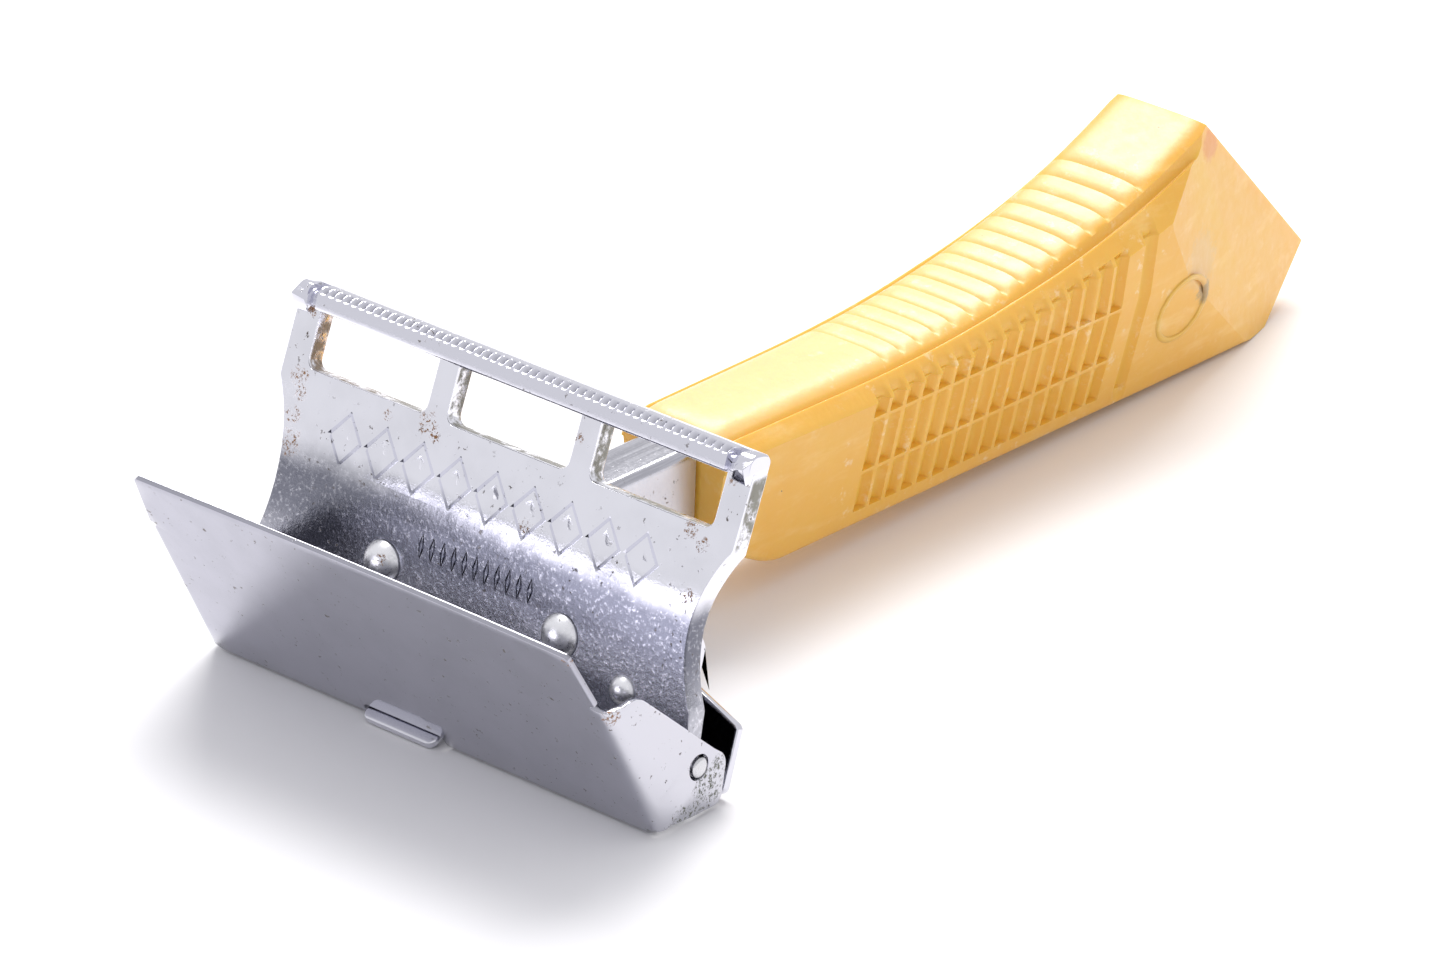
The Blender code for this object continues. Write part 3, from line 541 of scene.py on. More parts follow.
def skin(bm, rings, closed=False):
    """Faces over rings of vertices, all of one count, that close on themselves or end in a face."""
    for near, far in zip(rings, rings[1:] + rings[:1] if closed else rings[1:]):
        for i in range(len(near)):
            j = (i + 1) % len(near)
            bm.faces.new((near[i], near[j], far[j], far[i]))
    if not closed:
        bm.faces.new(rings[0])
        bm.faces.new(rings[-1])
    bmesh.ops.recalc_face_normals(bm, faces=bm.faces)
    return bm


def loft(rings, closed=False):
    """A skin over rings of points."""
    bm = bmesh.new()
    return skin(bm, [[bm.verts.new(point) for point in ring] for ring in rings], closed)


def turned(profile, sides):
    """A solid turned round +Z from (radius, height) points, with both ends on the axis."""
    bm = bmesh.new()
    rings = []
    for radius, height in profile:
        if radius == 0.0:
            rings.append([bm.verts.new((0.0, 0.0, height))])
            continue
        turn = [2.0 * math.pi * i / sides for i in range(sides)]
        rings.append([bm.verts.new((radius * math.cos(a), radius * math.sin(a), height)) for a in turn])
    for low, high in zip(rings, rings[1:]):
        for i in range(sides):
            j = (i + 1) % sides
            around = [low[i % len(low)], low[j % len(low)], high[j % len(high)], high[i % len(high)]]
            bm.faces.new(list(dict.fromkeys(around)))
    return bm


def bisect(bm, point, normal, **options):
    everything = bm.verts[:] + bm.edges[:] + bm.faces[:]
    return bmesh.ops.bisect_plane(bm, geom=everything, plane_co=point, plane_no=normal, **options)


def slice_rows(bm, axis, places):
    """Adds edges across the mesh where it has to bend, one at each place along the axis."""
    normal = Vector([1.0 if name == axis else 0.0 for name in "XYZ"])
    for place in places:
        bisect(bm, normal * place, normal, dist=1e-4)


def slice_off(bm, point, normal):
    """Removes what lies beyond a plane and closes the cut."""
    made = bisect(bm, point, normal.normalized(), clear_outer=True, dist=1e-5)
    edges = [item for item in made["geom_cut"] if isinstance(item, bmesh.types.BMEdge)]
    bmesh.ops.edgenet_fill(bm, edges=edges)


# --- Guard plate ---


def lean_at(distance):
    bent = min(max(distance - BEND_START, 0.0), BEND_LENGTH) / BEND_LENGTH
    return UPPER_LEAN + (LOWER_LEAN - UPPER_LEAN) * bent


def on_plate(distance, depth=0.0):
    """(Y, Z) of a point down the plate's front face, and depth behind it."""
    straight = min(distance, BEND_START)
    y, z = -math.sin(UPPER_LEAN) * straight, -math.cos(UPPER_LEAN) * straight
    lean = lean_at(distance)
    if distance > BEND_START:
        bent = min(distance - BEND_START, BEND_LENGTH)
        radius = BEND_LENGTH / (LOWER_LEAN - UPPER_LEAN)
        y += radius * (math.cos(lean) - math.cos(UPPER_LEAN))
        z -= radius * (math.sin(lean) - math.sin(UPPER_LEAN))
        below = distance - BEND_START - bent
        y -= math.sin(LOWER_LEAN) * below
        z -= math.cos(LOWER_LEAN) * below
    return y + depth * math.cos(lean), z - depth * math.sin(lean)


def bend_to_plate(bm):
    """Moves a shape drawn flat, as (across, down, behind), onto the bent plate."""
    for vertex in bm.verts:
        across, down, behind = vertex.co
        vertex.co = (across, *on_plate(down, behind))
    return bm


def in_plate_axes(bm, distance, x):
    """Turns a small flat-drawn shape to where the plate is, without bending it."""
    lean = lean_at(distance)
    down = Vector((0.0, -math.sin(lean), -math.cos(lean)))
    behind = Vector((0.0, math.cos(lean), -math.sin(lean)))
    turn = Matrix((Vector((1.0, 0.0, 0.0)), down, behind)).transposed().to_4x4()
    turn.translation = Vector((x, *on_plate(distance)))
    bm.transform(turn)
    return bm


def plate_half_width(distance):
    if distance < SHOULDER_AT:
        return PLATE_HALF_WIDTH
    if distance < WAIST_AT:
        along = (distance - SHOULDER_AT) / (WAIST_AT - SHOULDER_AT)
        return WAIST_HALF_WIDTH + (PLATE_HALF_WIDTH - WAIST_HALF_WIDTH) * (1.0 - along) ** 2
    along = min((distance - WAIST_AT) / (HIP_AT - WAIST_AT), 1.0)
    return WAIST_HALF_WIDTH + (HIP_HALF_WIDTH - WAIST_HALF_WIDTH) * along**2


def plate_outline():
    """The plate's outline in (across, down), below its guard bar."""
    steps = 22
    right = [(PLATE_HALF_WIDTH, -0.4), (PLATE_HALF_WIDTH, SHOULDER_AT - 0.3)]
    for step in range(steps + 1):
        distance = SHOULDER_AT + (HIP_AT - SHOULDER_AT) * step / steps
        right.append((plate_half_width(distance), distance))
    right += [(HIP_HALF_WIDTH, PLATE_LENGTH - 0.9), (HIP_HALF_WIDTH - 0.8, PLATE_LENGTH)]
    return right + mirrored(right)


def window(left, right):
    radius = WINDOW_CORNER
    low = WINDOW_BOTTOM - radius
    outline = [(left, WINDOW_TOP), (right, WINDOW_TOP)]
    outline += arc((right - radius, low), radius, 0, 90, 5)
    outline += arc((left + radius, low), radius, 90, 180, 5)
    return prism(outline, -1.0, PLATE_THICK + 1.0, axis="Z")


def ring_groove(points, width, depth, centre):
    """A V groove along a closed outline round a centre, as a cutter into the flat plate."""
    rings = []
    for point in points:
        outward = (Vector(point) - Vector(centre)).normalized() * width / 2
        outer, inner = Vector(point) + outward, Vector(point) - outward
        rings.append([(*outer, -0.02), (*inner, -0.02), (*point, depth)])
    return loft(rings, closed=True)


def lozenge(x, distance, half_x, half_y):
    return [(x + half_x, distance), (x, distance + half_y), (x - half_x, distance), (x, distance - half_y)]


def ornament():
    """Plain engraved ornament: a row of lozenges, each with a dimple, and a row of short strokes below."""
    tools = []
    for i in range(LOZENGE_COUNT):
        centre = (LOZENGE_START + LOZENGE_PITCH * i, LOZENGE_DOWN)
        tools.append(ring_groove(lozenge(*centre, 1.45, 1.8), 0.4, 0.22, centre))
        bm = bmesh.new()
        corners = [bm.verts.new((*point, -0.02)) for point in lozenge(*centre, 0.75, 1.0)]
        tip = bm.verts.new((*centre, 0.22))
        bm.faces.new(corners)
        for j in range(4):
            bm.faces.new((corners[j], corners[(j + 1) % 4], tip))
        bmesh.ops.recalc_face_normals(bm, faces=bm.faces)
        tools.append(bm)
    for i in range(STROKE_COUNT):
        centre = (STROKE_START + STROKE_PITCH * i, STROKE_DOWN)
        tools.append(ring_groove(lozenge(*centre, 0.2, 0.85), 0.22, 0.14, centre))
    return joined(tools)


def guard_section():
    """The guard bar's section in (down, behind), as three runs. The middle one carries the teeth."""
    low = [(WINDOW_TOP, 0.1), (WINDOW_TOP - 0.02, -0.28)]
    low += arc((WINDOW_TOP - 0.22, -0.33), 0.2, 0, -90, 4) + [(-0.35, -0.56), (-0.6, -0.58)]
    brow = arc((-0.78, 0.22), 0.82, 262, 184, 16)
    rear = [(-1.68, 0.6), (-1.7, 0.95)] + arc((-1.1, 1.1), 0.6, 180, 95, 6)
    return low, brow, rear + [(-0.5, PLATE_THICK), (WINDOW_TOP, PLATE_THICK)]


def tooth_depth(phase):
    """Depth of the serration at a phase from 0 to 1: a notch with a broad crest."""
    phase -= math.floor(phase)
    return max(0.0, 1.0 - abs(phase - 0.5) / 0.42)


def guard_bar():
    """The rounded bar above the windows, with slanting teeth along its top front edge."""
    low, brow, rear = guard_section()
    half = PLATE_HALF_WIDTH - 0.02
    pitch = BLADE_LENGTH / GUARD_TEETH
    zone = BLADE_LENGTH / 2 - 0.35
    columns = [-half, -half + 0.08, -half + 0.2, -zone - 0.9, -zone - 0.75, -zone - 0.15]
    inner_steps = int(2 * zone / pitch * TOOTH_STEPS)
    columns += [-zone + 2 * zone * i / inner_steps for i in range(inner_steps + 1)]
    columns += [zone + 0.15, zone + 0.75, zone + 0.9, half - 0.2, half - 0.08, half]
    rings = []
    notches = []
    for x in columns:
        ring = []
        end = max(abs(x) - (half - 0.2), 0.0) / 0.2
        shrink = 1.0 - 0.12 * end**2
        in_zone = abs(x) < zone
        recess = 0.5 if zone + 0.1 < abs(x) < zone + 0.8 else 0.0
        for i, (down, behind) in enumerate(low + brow + rear):
            across, cut_in = x, 0.0
            down_at = -0.75 + (down + 0.75) * shrink
            behind_at = 0.6 + (behind - 0.6) * shrink
            share = (i - len(low)) / (len(brow) - 1)
            if in_zone and 0.0 <= share <= 1.0:
                slant = TOOTH_SLANT * (share - 0.5)
                fade = max(math.sin(math.pi * max((share - 0.18) / 0.82, 0.0)), 0.0) ** 0.4
                cut_in = tooth_depth(x / pitch) * fade
                across = x + slant * min(1.0, (zone - abs(x)) / 0.8)
                outward = Vector((down + 0.78, behind - 0.4)).normalized()
                down_at -= outward.x * TOOTH_DEPTH * cut_in
                behind_at -= outward.y * TOOTH_DEPTH * cut_in
            if recess and behind < 0.5:
                behind_at += recess
                down_at += recess * 0.8 if down < -0.8 else 0.0
            ring.append((across, down_at, behind_at))
            notches.append(cut_in)
        rings.append(ring)
    bm = loft(rings)
    # How deep each vertex's notch is cut; the material paints shade into the notches from it.
    notch = bm.verts.layers.float.new("notch")
    for vertex, depth in zip(bm.verts, notches):
        vertex[notch] = depth
    return bm


def lug(side):
    """A blade stop: a small wedge at one end of the guard, faceted like a roof."""
    # (in from the plate's end, down, behind)
    points = (
        (0.03, 0.72, 0.3), (1.5, 0.62, 0.3), (0.03, 0.5, -0.5), (1.4, 0.42, -0.42), (0.12, -0.55, -1.12),
        (1.15, -0.35, -0.78), (0.03, -1.3, -0.3), (1.2, -1.2, -0.25), (0.03, -1.45, 0.5), (1.3, -1.4, 0.5),
    )
    bm = bmesh.new()
    corners = [bm.verts.new((side * (PLATE_HALF_WIDTH - inset), *place)) for inset, *place in points]
    hull = bmesh.ops.convex_hull(bm, input=corners)
    spare = hull["geom_interior"] + hull["geom_unused"]
    loose = [item for item in spare if isinstance(item, bmesh.types.BMVert)]
    bmesh.ops.delete(bm, geom=loose, context="VERTS")
    return rounded(bm, 0.07, 2, 20.0)


def guard_plate(look):
    slab = prism(plate_outline(), 0.0, PLATE_THICK, axis="Z")
    for left, right in ((-WINDOW_OUTER, -BAR_OUTER), (-BAR_INNER, BAR_INNER), (BAR_OUTER, WINDOW_OUTER)):
        slab = cut(slab, window(left, right))
    slab = rounded(slab, 0.16)
    slab = cut(slab, ornament())
    slice_rows(slab, "Y", [BEND_START + BEND_LENGTH * i / 16 for i in range(17)])
    whole = bend_to_plate(joined([slab, guard_bar(), lug(-1), lug(1)]))
    return piece("guard_plate_skin", whole, look, "guard_plate")


# --- Rivets and pins ---


def sided(name, side):
    return name + ("_right" if side > 0 else "_left")


def rivet(kind, side, look):
    """A domed rivet, drawn with its dome on the front face and its tail behind the stack."""
    apart, distance, radius, height, shank = kind
    stack = PLATE_THICK + STACK_GAP + (FLANGE_THICK if kind is LARGE_RIVET else LEAF)
    ball = (radius**2 + height**2) / (2.0 * height)
    profile = [(0.0, -height)]
    for step in range(1, 15):
        across = radius * math.sin(math.radians(6.2 * step))
        profile.append((across, ball - height - math.sqrt(ball**2 - across**2)))
    profile += [(radius, -0.1), (radius - 0.02, -0.02), (shank, -0.02), (shank, stack + 0.08)]
    profile += [(radius * 0.82, stack + 0.08), (radius * 0.85, stack + 0.2)]
    profile += [(radius * 0.72, stack + 0.05 + TAIL_HEIGHT), (0.0, stack + 0.1 + TAIL_HEIGHT)]
    bm = in_plate_axes(turned(profile, 48), distance, side * apart)
    name = sided("large_rivet" if kind is LARGE_RIVET else "small_rivet", side)
    return piece(name + "_skin", bm, look, name)


def hinge_pin(side, look):
    """A peened pin end, nearly flush with the ear."""
    ends = (HIP_HALF_WIDTH - 3.9, EAR_OUTER + 0.16)
    profile = [(0.0, ends[0]), (PIN_RADIUS - 0.15, ends[0]), (PIN_RADIUS, ends[0] + 0.15)]
    profile += [(PIN_RADIUS - 0.08, ends[1] - 0.26), (PIN_RADIUS - 0.1, ends[1] - 0.12)]
    profile += [(PIN_RADIUS - 0.17, ends[1] - 0.05), (PIN_RADIUS * 0.55, ends[1]), (0.0, ends[1] + 0.02)]
    bm = turned(profile, 40)
    turn = Matrix.Rotation(math.radians(90.0 * side), 4, "Y")
    bm.transform(Matrix.Translation((0.0, PIN_Y, PIN_Z)) @ turn)
    name = sided("hinge_pin", side)
    return piece(name + "_skin", bm, look, name)


# --- Cap ---


def on_cap(up, depth=0.0):
    """(Y, Z) of a point up the cap's outer face from its lower edge, and depth behind it."""
    y = CAP_LOW_Y - math.sin(CAP_LEAN) * up + math.cos(CAP_LEAN) * depth
    z = CAP_LOW_Z + math.cos(CAP_LEAN) * up + math.sin(CAP_LEAN) * depth
    return y, z


def to_cap(y, z):
    """(depth, up) on the cap of a point in (Y, Z): the inverse of on_cap."""
    y, z = y - CAP_LOW_Y, z - CAP_LOW_Z
    up = -math.sin(CAP_LEAN) * y + math.cos(CAP_LEAN) * z
    return math.cos(CAP_LEAN) * y + math.sin(CAP_LEAN) * z, up


BEND_AT = EAR_OUTER - EAR_BEND


def unrolled(depth):
    """How far across the flat blank a point of the ear lies that ends up this deep behind the cap's face."""
    if depth < EAR_BEND:
        return BEND_AT + EAR_BEND * math.acos(1.0 - max(depth, 0.0) / EAR_BEND)
    return BEND_AT + EAR_BEND * (math.pi / 2 - 1.0) + depth


def ear_blank():
    """The right ear's outline on the flat blank, from the relief slit down to the cap's lower corner."""
    points = [(-13.9, -12.5), (-13.3, -12.33), (-12.6, -12.4), (-11.9, -12.3), (-11.2, -12.3)]
    points += [(-10.6, -12.55), (-10.1, -12.95), (-3.0, -18.9)]
    points += arc((-3.15, -20.45), 1.35, 52, -5, 6)
    points += [(-2.05, -22.2)]
    points += arc((-3.0, -22.35), 0.95, 10, -80, 6)
    points += [(-5.3, -23.32), (-7.2, -23.2)]
    return [(unrolled(depth), up) for depth, up in (to_cap(*point) for point in points)]


def cap_blank():
    """The cap's flat blank in (across, up): face, ears, relief slits, hem flap and notch."""
    hem_end = HEM_RADIUS - 3.9 * HEM_RADIUS
    slit = [(CAP_LOW_HALF - 0.25, EAR_TOP + 0.25), (BEND_AT + 0.1, EAR_TOP + 0.12), (BEND_AT, EAR_TOP)]
    right = [(CAP_FREE_HALF - 0.25, CAP_LENGTH), (CAP_FREE_HALF, CAP_LENGTH - 0.2)] + slit + ear_blank()
    right += [(BEND_AT + 0.2, HEM_RADIUS), (BEND_AT - 0.15, HEM_RADIUS - 0.1), (BEND_AT - 0.3, hem_end)]
    half = HOOK_WIDTH / 2 + NOTCH_CLEARANCE
    notch_left, notch_right = HOOK_CENTRE_X - half, HOOK_CENTRE_X + half
    notch = [(notch_left, hem_end), (notch_left, NOTCH_TOP - 0.25), (notch_left + 0.25, NOTCH_TOP)]
    notch += [(notch_right - 0.25, NOTCH_TOP), (notch_right, NOTCH_TOP - 0.25)]
    notch += [(notch_right + 0.75, hem_end)]
    return right + notch[::-1] + mirrored(right)


def formed(across, up, inward):
    """Where a point of the blank lands once the hem is rolled and the ears are bent."""
    crown = CAP_CROWN * (1.0 - (across / BEND_AT) ** 2) * max(0.0, min(1.0, up / CAP_LENGTH))
    if abs(across) > BEND_AT and up < EAR_TOP + 0.06:
        angle = min((abs(across) - BEND_AT) / EAR_BEND, math.pi / 2)
        beyond = abs(across) - BEND_AT - EAR_BEND * angle
        radius = EAR_BEND - inward
        x = BEND_AT + radius * math.sin(angle) + beyond * math.cos(angle)
        depth = EAR_BEND - radius * math.cos(angle) + beyond * math.sin(angle)
        return math.copysign(x, across), up, depth
    if up < HEM_RADIUS:
        angle = (HEM_RADIUS - up) / HEM_RADIUS
        radius = HEM_RADIUS - inward
        return across, HEM_RADIUS - radius * math.sin(angle), HEM_RADIUS - radius * math.cos(angle)
    return across, up, inward + max(crown, 0.0)


def cap(look):
    blank = prism(cap_blank(), 0.0, SHEET - 0.1, axis="Z")
    depth, up = to_cap(PIN_Y, PIN_Z)
    for side in (-1, 1):
        hole = prism(arc((side * unrolled(depth), up), PIN_RADIUS + 0.12, 0, 345, 23), -1.0, 2.0, axis="Z")
        blank = cut(blank, hole)
    blank = rounded(blank, 0.1, 2)
    # How far through the sheet each vertex lies, from outer face to inner; the inner face is painted dark
    # from it, as shade.
    inner = blank.verts.layers.float.new("inner")
    bends = [BEND_AT + EAR_BEND * math.pi / 2 * i / 12 for i in range(13)]
    slice_rows(blank, "X", [side * place for side in (-1, 1) for place in bends])
    slice_rows(blank, "X", [-18.0 + 3.0 * i for i in range(13)])
    slice_rows(blank, "Y", [HEM_RADIUS * (1.0 - 0.32 * i) for i in range(12)])
    slice_rows(blank, "Y", [3.0 + 2.5 * i for i in range(7)])
    for vertex in blank.verts:
        vertex[inner] = min(1.0, max(0.0, vertex.co.z / (SHEET - 0.1)))
        across, height, inward = formed(*vertex.co)
        vertex.co = (across, *on_cap(height, inward))
    return piece("cap_skin", blank, look, "cap", body="cap")


# --- Spring plate ---


def strip(points, thick, low, high):
    """A sheet strip: points along its face in (Y, Z), thickened to the left of travel."""
    outer = [Vector(point) for point in points]
    inner = []
    for i, point in enumerate(outer):
        before = (point - outer[i - 1]).normalized() if i else None
        after = (outer[i + 1] - point).normalized() if i + 1 < len(outer) else None
        before, after = before or after, after or before
        left = Vector((-(before + after).y, (before + after).x)).normalized()
        inner.append(point + left * thick / max(0.4, left.dot(Vector((-before.y, before.x)))))
    return prism(outer + inner[::-1], low, high)


def leaf_rear(z):
    return LEAF_LOW_Y + LEAF_SLOPE * (z - LEAF_LOW_Z), z


def rear_leaf():
    """The full-width rear leg, with rounded lower corners and cut upper corners."""
    half = LEAF_HALF_WIDTH
    right = [(half, LEAF_CORNER_Z - 0.15), (half - 0.25, LEAF_CORNER_Z + 0.1)]
    right += [(LEAF_SHOULDER + 0.3, LEAF_TOP_Z - 0.02), (LEAF_SHOULDER, LEAF_TOP_Z + 0.1)]
    right += [(LEAF_SHOULDER - 0.1, TAB_TOP_Z + 0.2), (TAB_INNER, TAB_TOP_Z + 0.2), (TAB_INNER, LEAF_TOP_Z)]
    low = arc((half - 0.6, LEAF_LOW_Z + 0.6), 0.6, -90, 0, 5)
    outline = low + right + mirrored(low + right)
    back = [(x, *leaf_rear(z)) for x, z in outline]
    front = [(x, leaf_rear(z)[0] - LEAF, z + LEAF * LEAF_SLOPE) for x, z in outline]
    bm = rounded(loft([back, front]), 0.12)
    # The two broad faces are inset and marked; the material paints them near black, standing in for a dark
    # reflection.
    dark = bm.verts.layers.float.new("dark")
    broad = sorted(bm.faces, key=lambda face: face.calc_area())[-2:]
    bmesh.ops.inset_individual(bm, faces=broad, thickness=0.22)
    for face in sorted(bm.faces, key=lambda face: face.calc_area())[-2:]:
        for vertex in face.verts:
            vertex[dark] = 1.0
    return bm


def hairpin():
    """(Y, Z) points from the rear leg over the bow to the riveted front leg."""
    rivet_at = SMALL_RIVET[1]
    lower = on_plate(rivet_at + 1.3, PLATE_THICK + STACK_GAP)
    upper = on_plate(rivet_at - 1.5, PLATE_THICK + STACK_GAP)
    rear_y, rear_z = leaf_rear(TAB_TOP_Z + 0.2)
    middle = ((upper[0] + rear_y) / 2, upper[1])
    bow = arc(middle, (rear_y - upper[0]) / 2, 180, 0, 16)
    return [leaf_rear(TAB_TOP_Z - 0.6), (rear_y, rear_z)] + list(reversed(bow))[1:-1] + [upper, lower]


def hook():
    """The tongue that passes through the cap's notch, with a rounded free end."""
    bend_y, bend_z = on_cap(HOOK_TOP, 1.3)
    start = (LEAF_LOW_Y - 0.35, LEAF_LOW_Z + 0.55)
    path = [start, (bend_y + 0.6, bend_z + 0.08), (bend_y + 0.1, bend_z + 0.03)]
    path += [on_cap(HOOK_TOP, 0.7), on_cap(HOOK_TOP, -HOOK_REACH)]
    half = HOOK_WIDTH / 2
    bm = rounded(strip(path, HOOK_THICK, HOOK_CENTRE_X - half, HOOK_CENTRE_X + half), 0.16, 4)
    outward = Vector((0.0, -math.cos(CAP_LEAN), -math.sin(CAP_LEAN)))
    root = Vector((0.0, *on_cap(HOOK_TOP, HOOK_CORNER - HOOK_REACH)))
    for i in range(6):
        bisect(bm, root + outward * HOOK_CORNER * i / 6, outward, dist=1e-4)
    for vertex in bm.verts:
        beyond = min(max((vertex.co - root).dot(outward), 0.0), HOOK_CORNER)
        if beyond > 0.0 and vertex.co.y < CAP_LOW_Y + 2.0:
            narrowed = half - HOOK_CORNER + math.sqrt(HOOK_CORNER**2 - 0.98 * beyond**2)
            vertex.co.x = HOOK_CENTRE_X + (vertex.co.x - HOOK_CENTRE_X) * narrowed / half
    return bm


def spring_plate(look):
    parts = [rear_leaf(), hook()]
    for side in (-1, 1):
        ends = sorted((side * TAB_INNER, side * (LEAF_SHOULDER - 0.1)))
        parts.append(rounded(strip(hairpin(), LEAF, *ends), 0.1, 2, 60.0))
    return piece("spring_skin", joined(parts), look, "spring_plate")


# --- Neck ---


def neck_section():
    """The channel's section in (X, Z): a folded sheet with rounded shoulders, open below."""
    half, radius, low = NECK_HALF_WIDTH, NECK_SHOULDER, NECK_LOW_Z
    outer = [(half, low), (half, NECK_TOP_Z - 1.6)]
    outer += arc((half - radius, NECK_TOP_Z - radius), radius, 0, 90, 6)
    outer += mirrored(outer)
    inner_half, inner_top = half - NECK_SHEET, NECK_TOP_Z - NECK_SHEET
    inner = [(-inner_half, low), (-inner_half, inner_top - 0.3), (-inner_half + 0.3, inner_top)]
    inner += mirrored(inner)
    return outer + inner


def neck(look):
    behind = PLATE_THICK + STACK_GAP
    far = HANDLE_FRONT_Y - 0.25
    rings = []
    for share in (0.0, 0.03, 0.25, 0.5, 0.75, 0.97, 1.0):
        ring = []
        for x, z in neck_section():
            near = min(max(-z, 8.0), 17.0)
            start = on_plate(near * 1.03, behind + 0.1)[0]
            ring.append((x, start + (far - start) * share, z))
        rings.append(ring)
    channel = loft(rings)
    half = FLANGE_HALF_WIDTH - FLANGE_CORNER
    low, top = FLANGE_LOW - FLANGE_CORNER, FLANGE_TOP + FLANGE_CORNER
    outline = []
    for turn, centre in enumerate(((half, low), (-half, low), (-half, top), (half, top))):
        outline += arc(centre, FLANGE_CORNER, 90 * turn, 90 * turn + 90, 6)
    flange = prism(outline, behind, behind + FLANGE_THICK, axis="Z")
    flange = rounded(flange, 0.14)
    slice_rows(flange, "Y", [FLANGE_TOP + 0.6 * i for i in range(8)])
    whole = joined([channel, bend_to_plate(flange)])
    return piece("neck_skin", whole, look, "neck", sharp=28.0)


# --- Handle ---


def ramp(value, points):
    """Straight-line interpolation through (place, height) points, with smooth corners left to shading."""
    if value <= points[0][0]:
        return points[0][1]
    for (low, start), (high, end) in zip(points, points[1:]):
        if value <= high:
            return start + (end - start) * (value - low) / (high - low)
    return points[-1][1]


def handle_top(y):
    """Height of the side bands: level near the head, sweeping up to the end."""
    along = max(y - FLARE_START_Y, 0.0) / FLARE_Y
    return HANDLE_TOP_Z + FLARE_RISE * along**FLARE_POWER


def along_taper(y):
    """0 at the handle's front end to 1 where its taper ends."""
    return min(max((y - HANDLE_FRONT_Y) / TAPER_LENGTH, 0.0), 1.0)


def widths(y):
    """Half widths of the handle at y: at its V grooves, at its walls' top and at its foot."""
    along = along_taper(y)
    return 3.85 + 0.85 * along, 5.2 + 1.0 * along, 3.1 + 0.4 * along


def repeat_depth(y, start, pitch, count, shape):
    place = (y - start) / pitch
    if place < 0.0 or place >= count:
        return 0.0
    return ramp(place - math.floor(place), shape)


def cell_heights(y):
    """(Z, depth) points down a side wall: 1 where the three rows of cells are sunk, 0 between them."""
    highest = min(handle_top(y) + 0.9, -7.35 + 0.06 * (y - CELL_START))
    tops = (highest, CELL_ROWS_Z[0] - 0.13, CELL_ROWS_Z[1] - 0.13)
    lows = (CELL_ROWS_Z[0] + 0.13, CELL_ROWS_Z[1] + 0.13, CELL_ROWS_Z[2])
    points = []
    for top, low in zip(tops, lows):
        points += [(top, 0.0), (top - 0.16, 0.45), (top - 0.5, 0.85), (top - 0.9, 1.0)]
        points += [(low + 0.14, 1.0), (low, 0.0)]
    return points


def groove_depth(y):
    """How deep the cells or the upright slot are at y, where they are deepest."""
    if SLOT_Y <= y <= SLOT_Y + SLOT_WIDTH:
        return SLOT_DEPTH * ramp((y - SLOT_Y) / SLOT_WIDTH, SLOT_SHAPE)
    return CELL_DEPTH * repeat_depth(y, CELL_START, CELL_PITCH, CELL_COUNT, CELL_SHAPE)


def wall_depth(y, z):
    """How deep the side wall is sunk at a place."""
    if SLOT_Y <= y <= SLOT_Y + SLOT_WIDTH:
        return groove_depth(y) * ramp(-z, ((18.85, 1.0), (19.1, 0.0)))
    return groove_depth(y) * ramp(-z, [(-height, depth) for height, depth in cell_heights(y)])


def handle_rows():
    """Where the handle's rings lie along Y: close together at the edges of ribs, cells and the slot."""
    rows = [HANDLE_FRONT_Y, HANDLE_FRONT_Y + 0.12, HANDLE_FRONT_Y + 0.35, HANDLE_FRONT_Y + 0.7]
    rows += [HANDLE_FRONT_Y + 1.2 + 0.8 * i for i in range(17)]
    rows += [FLARE_START_Y + 2.0 + 2.0 * i for i in range(30)]
    for start, pitch, count, shape in (
        (RIB_START, RIB_PITCH, RIB_COUNT, RIB_SHAPE),
        (CELL_START, CELL_PITCH, CELL_COUNT, CELL_SHAPE),
        (SLOT_Y, SLOT_WIDTH, 1, SLOT_SHAPE),
    ):
        rows += [start + pitch * (i + place) for i in range(count) for place, _ in shape]
    rows.sort()
    kept = rows[:1]
    for row in rows[1:]:
        if row - kept[-1] > 0.05:
            kept.append(row)
    return kept


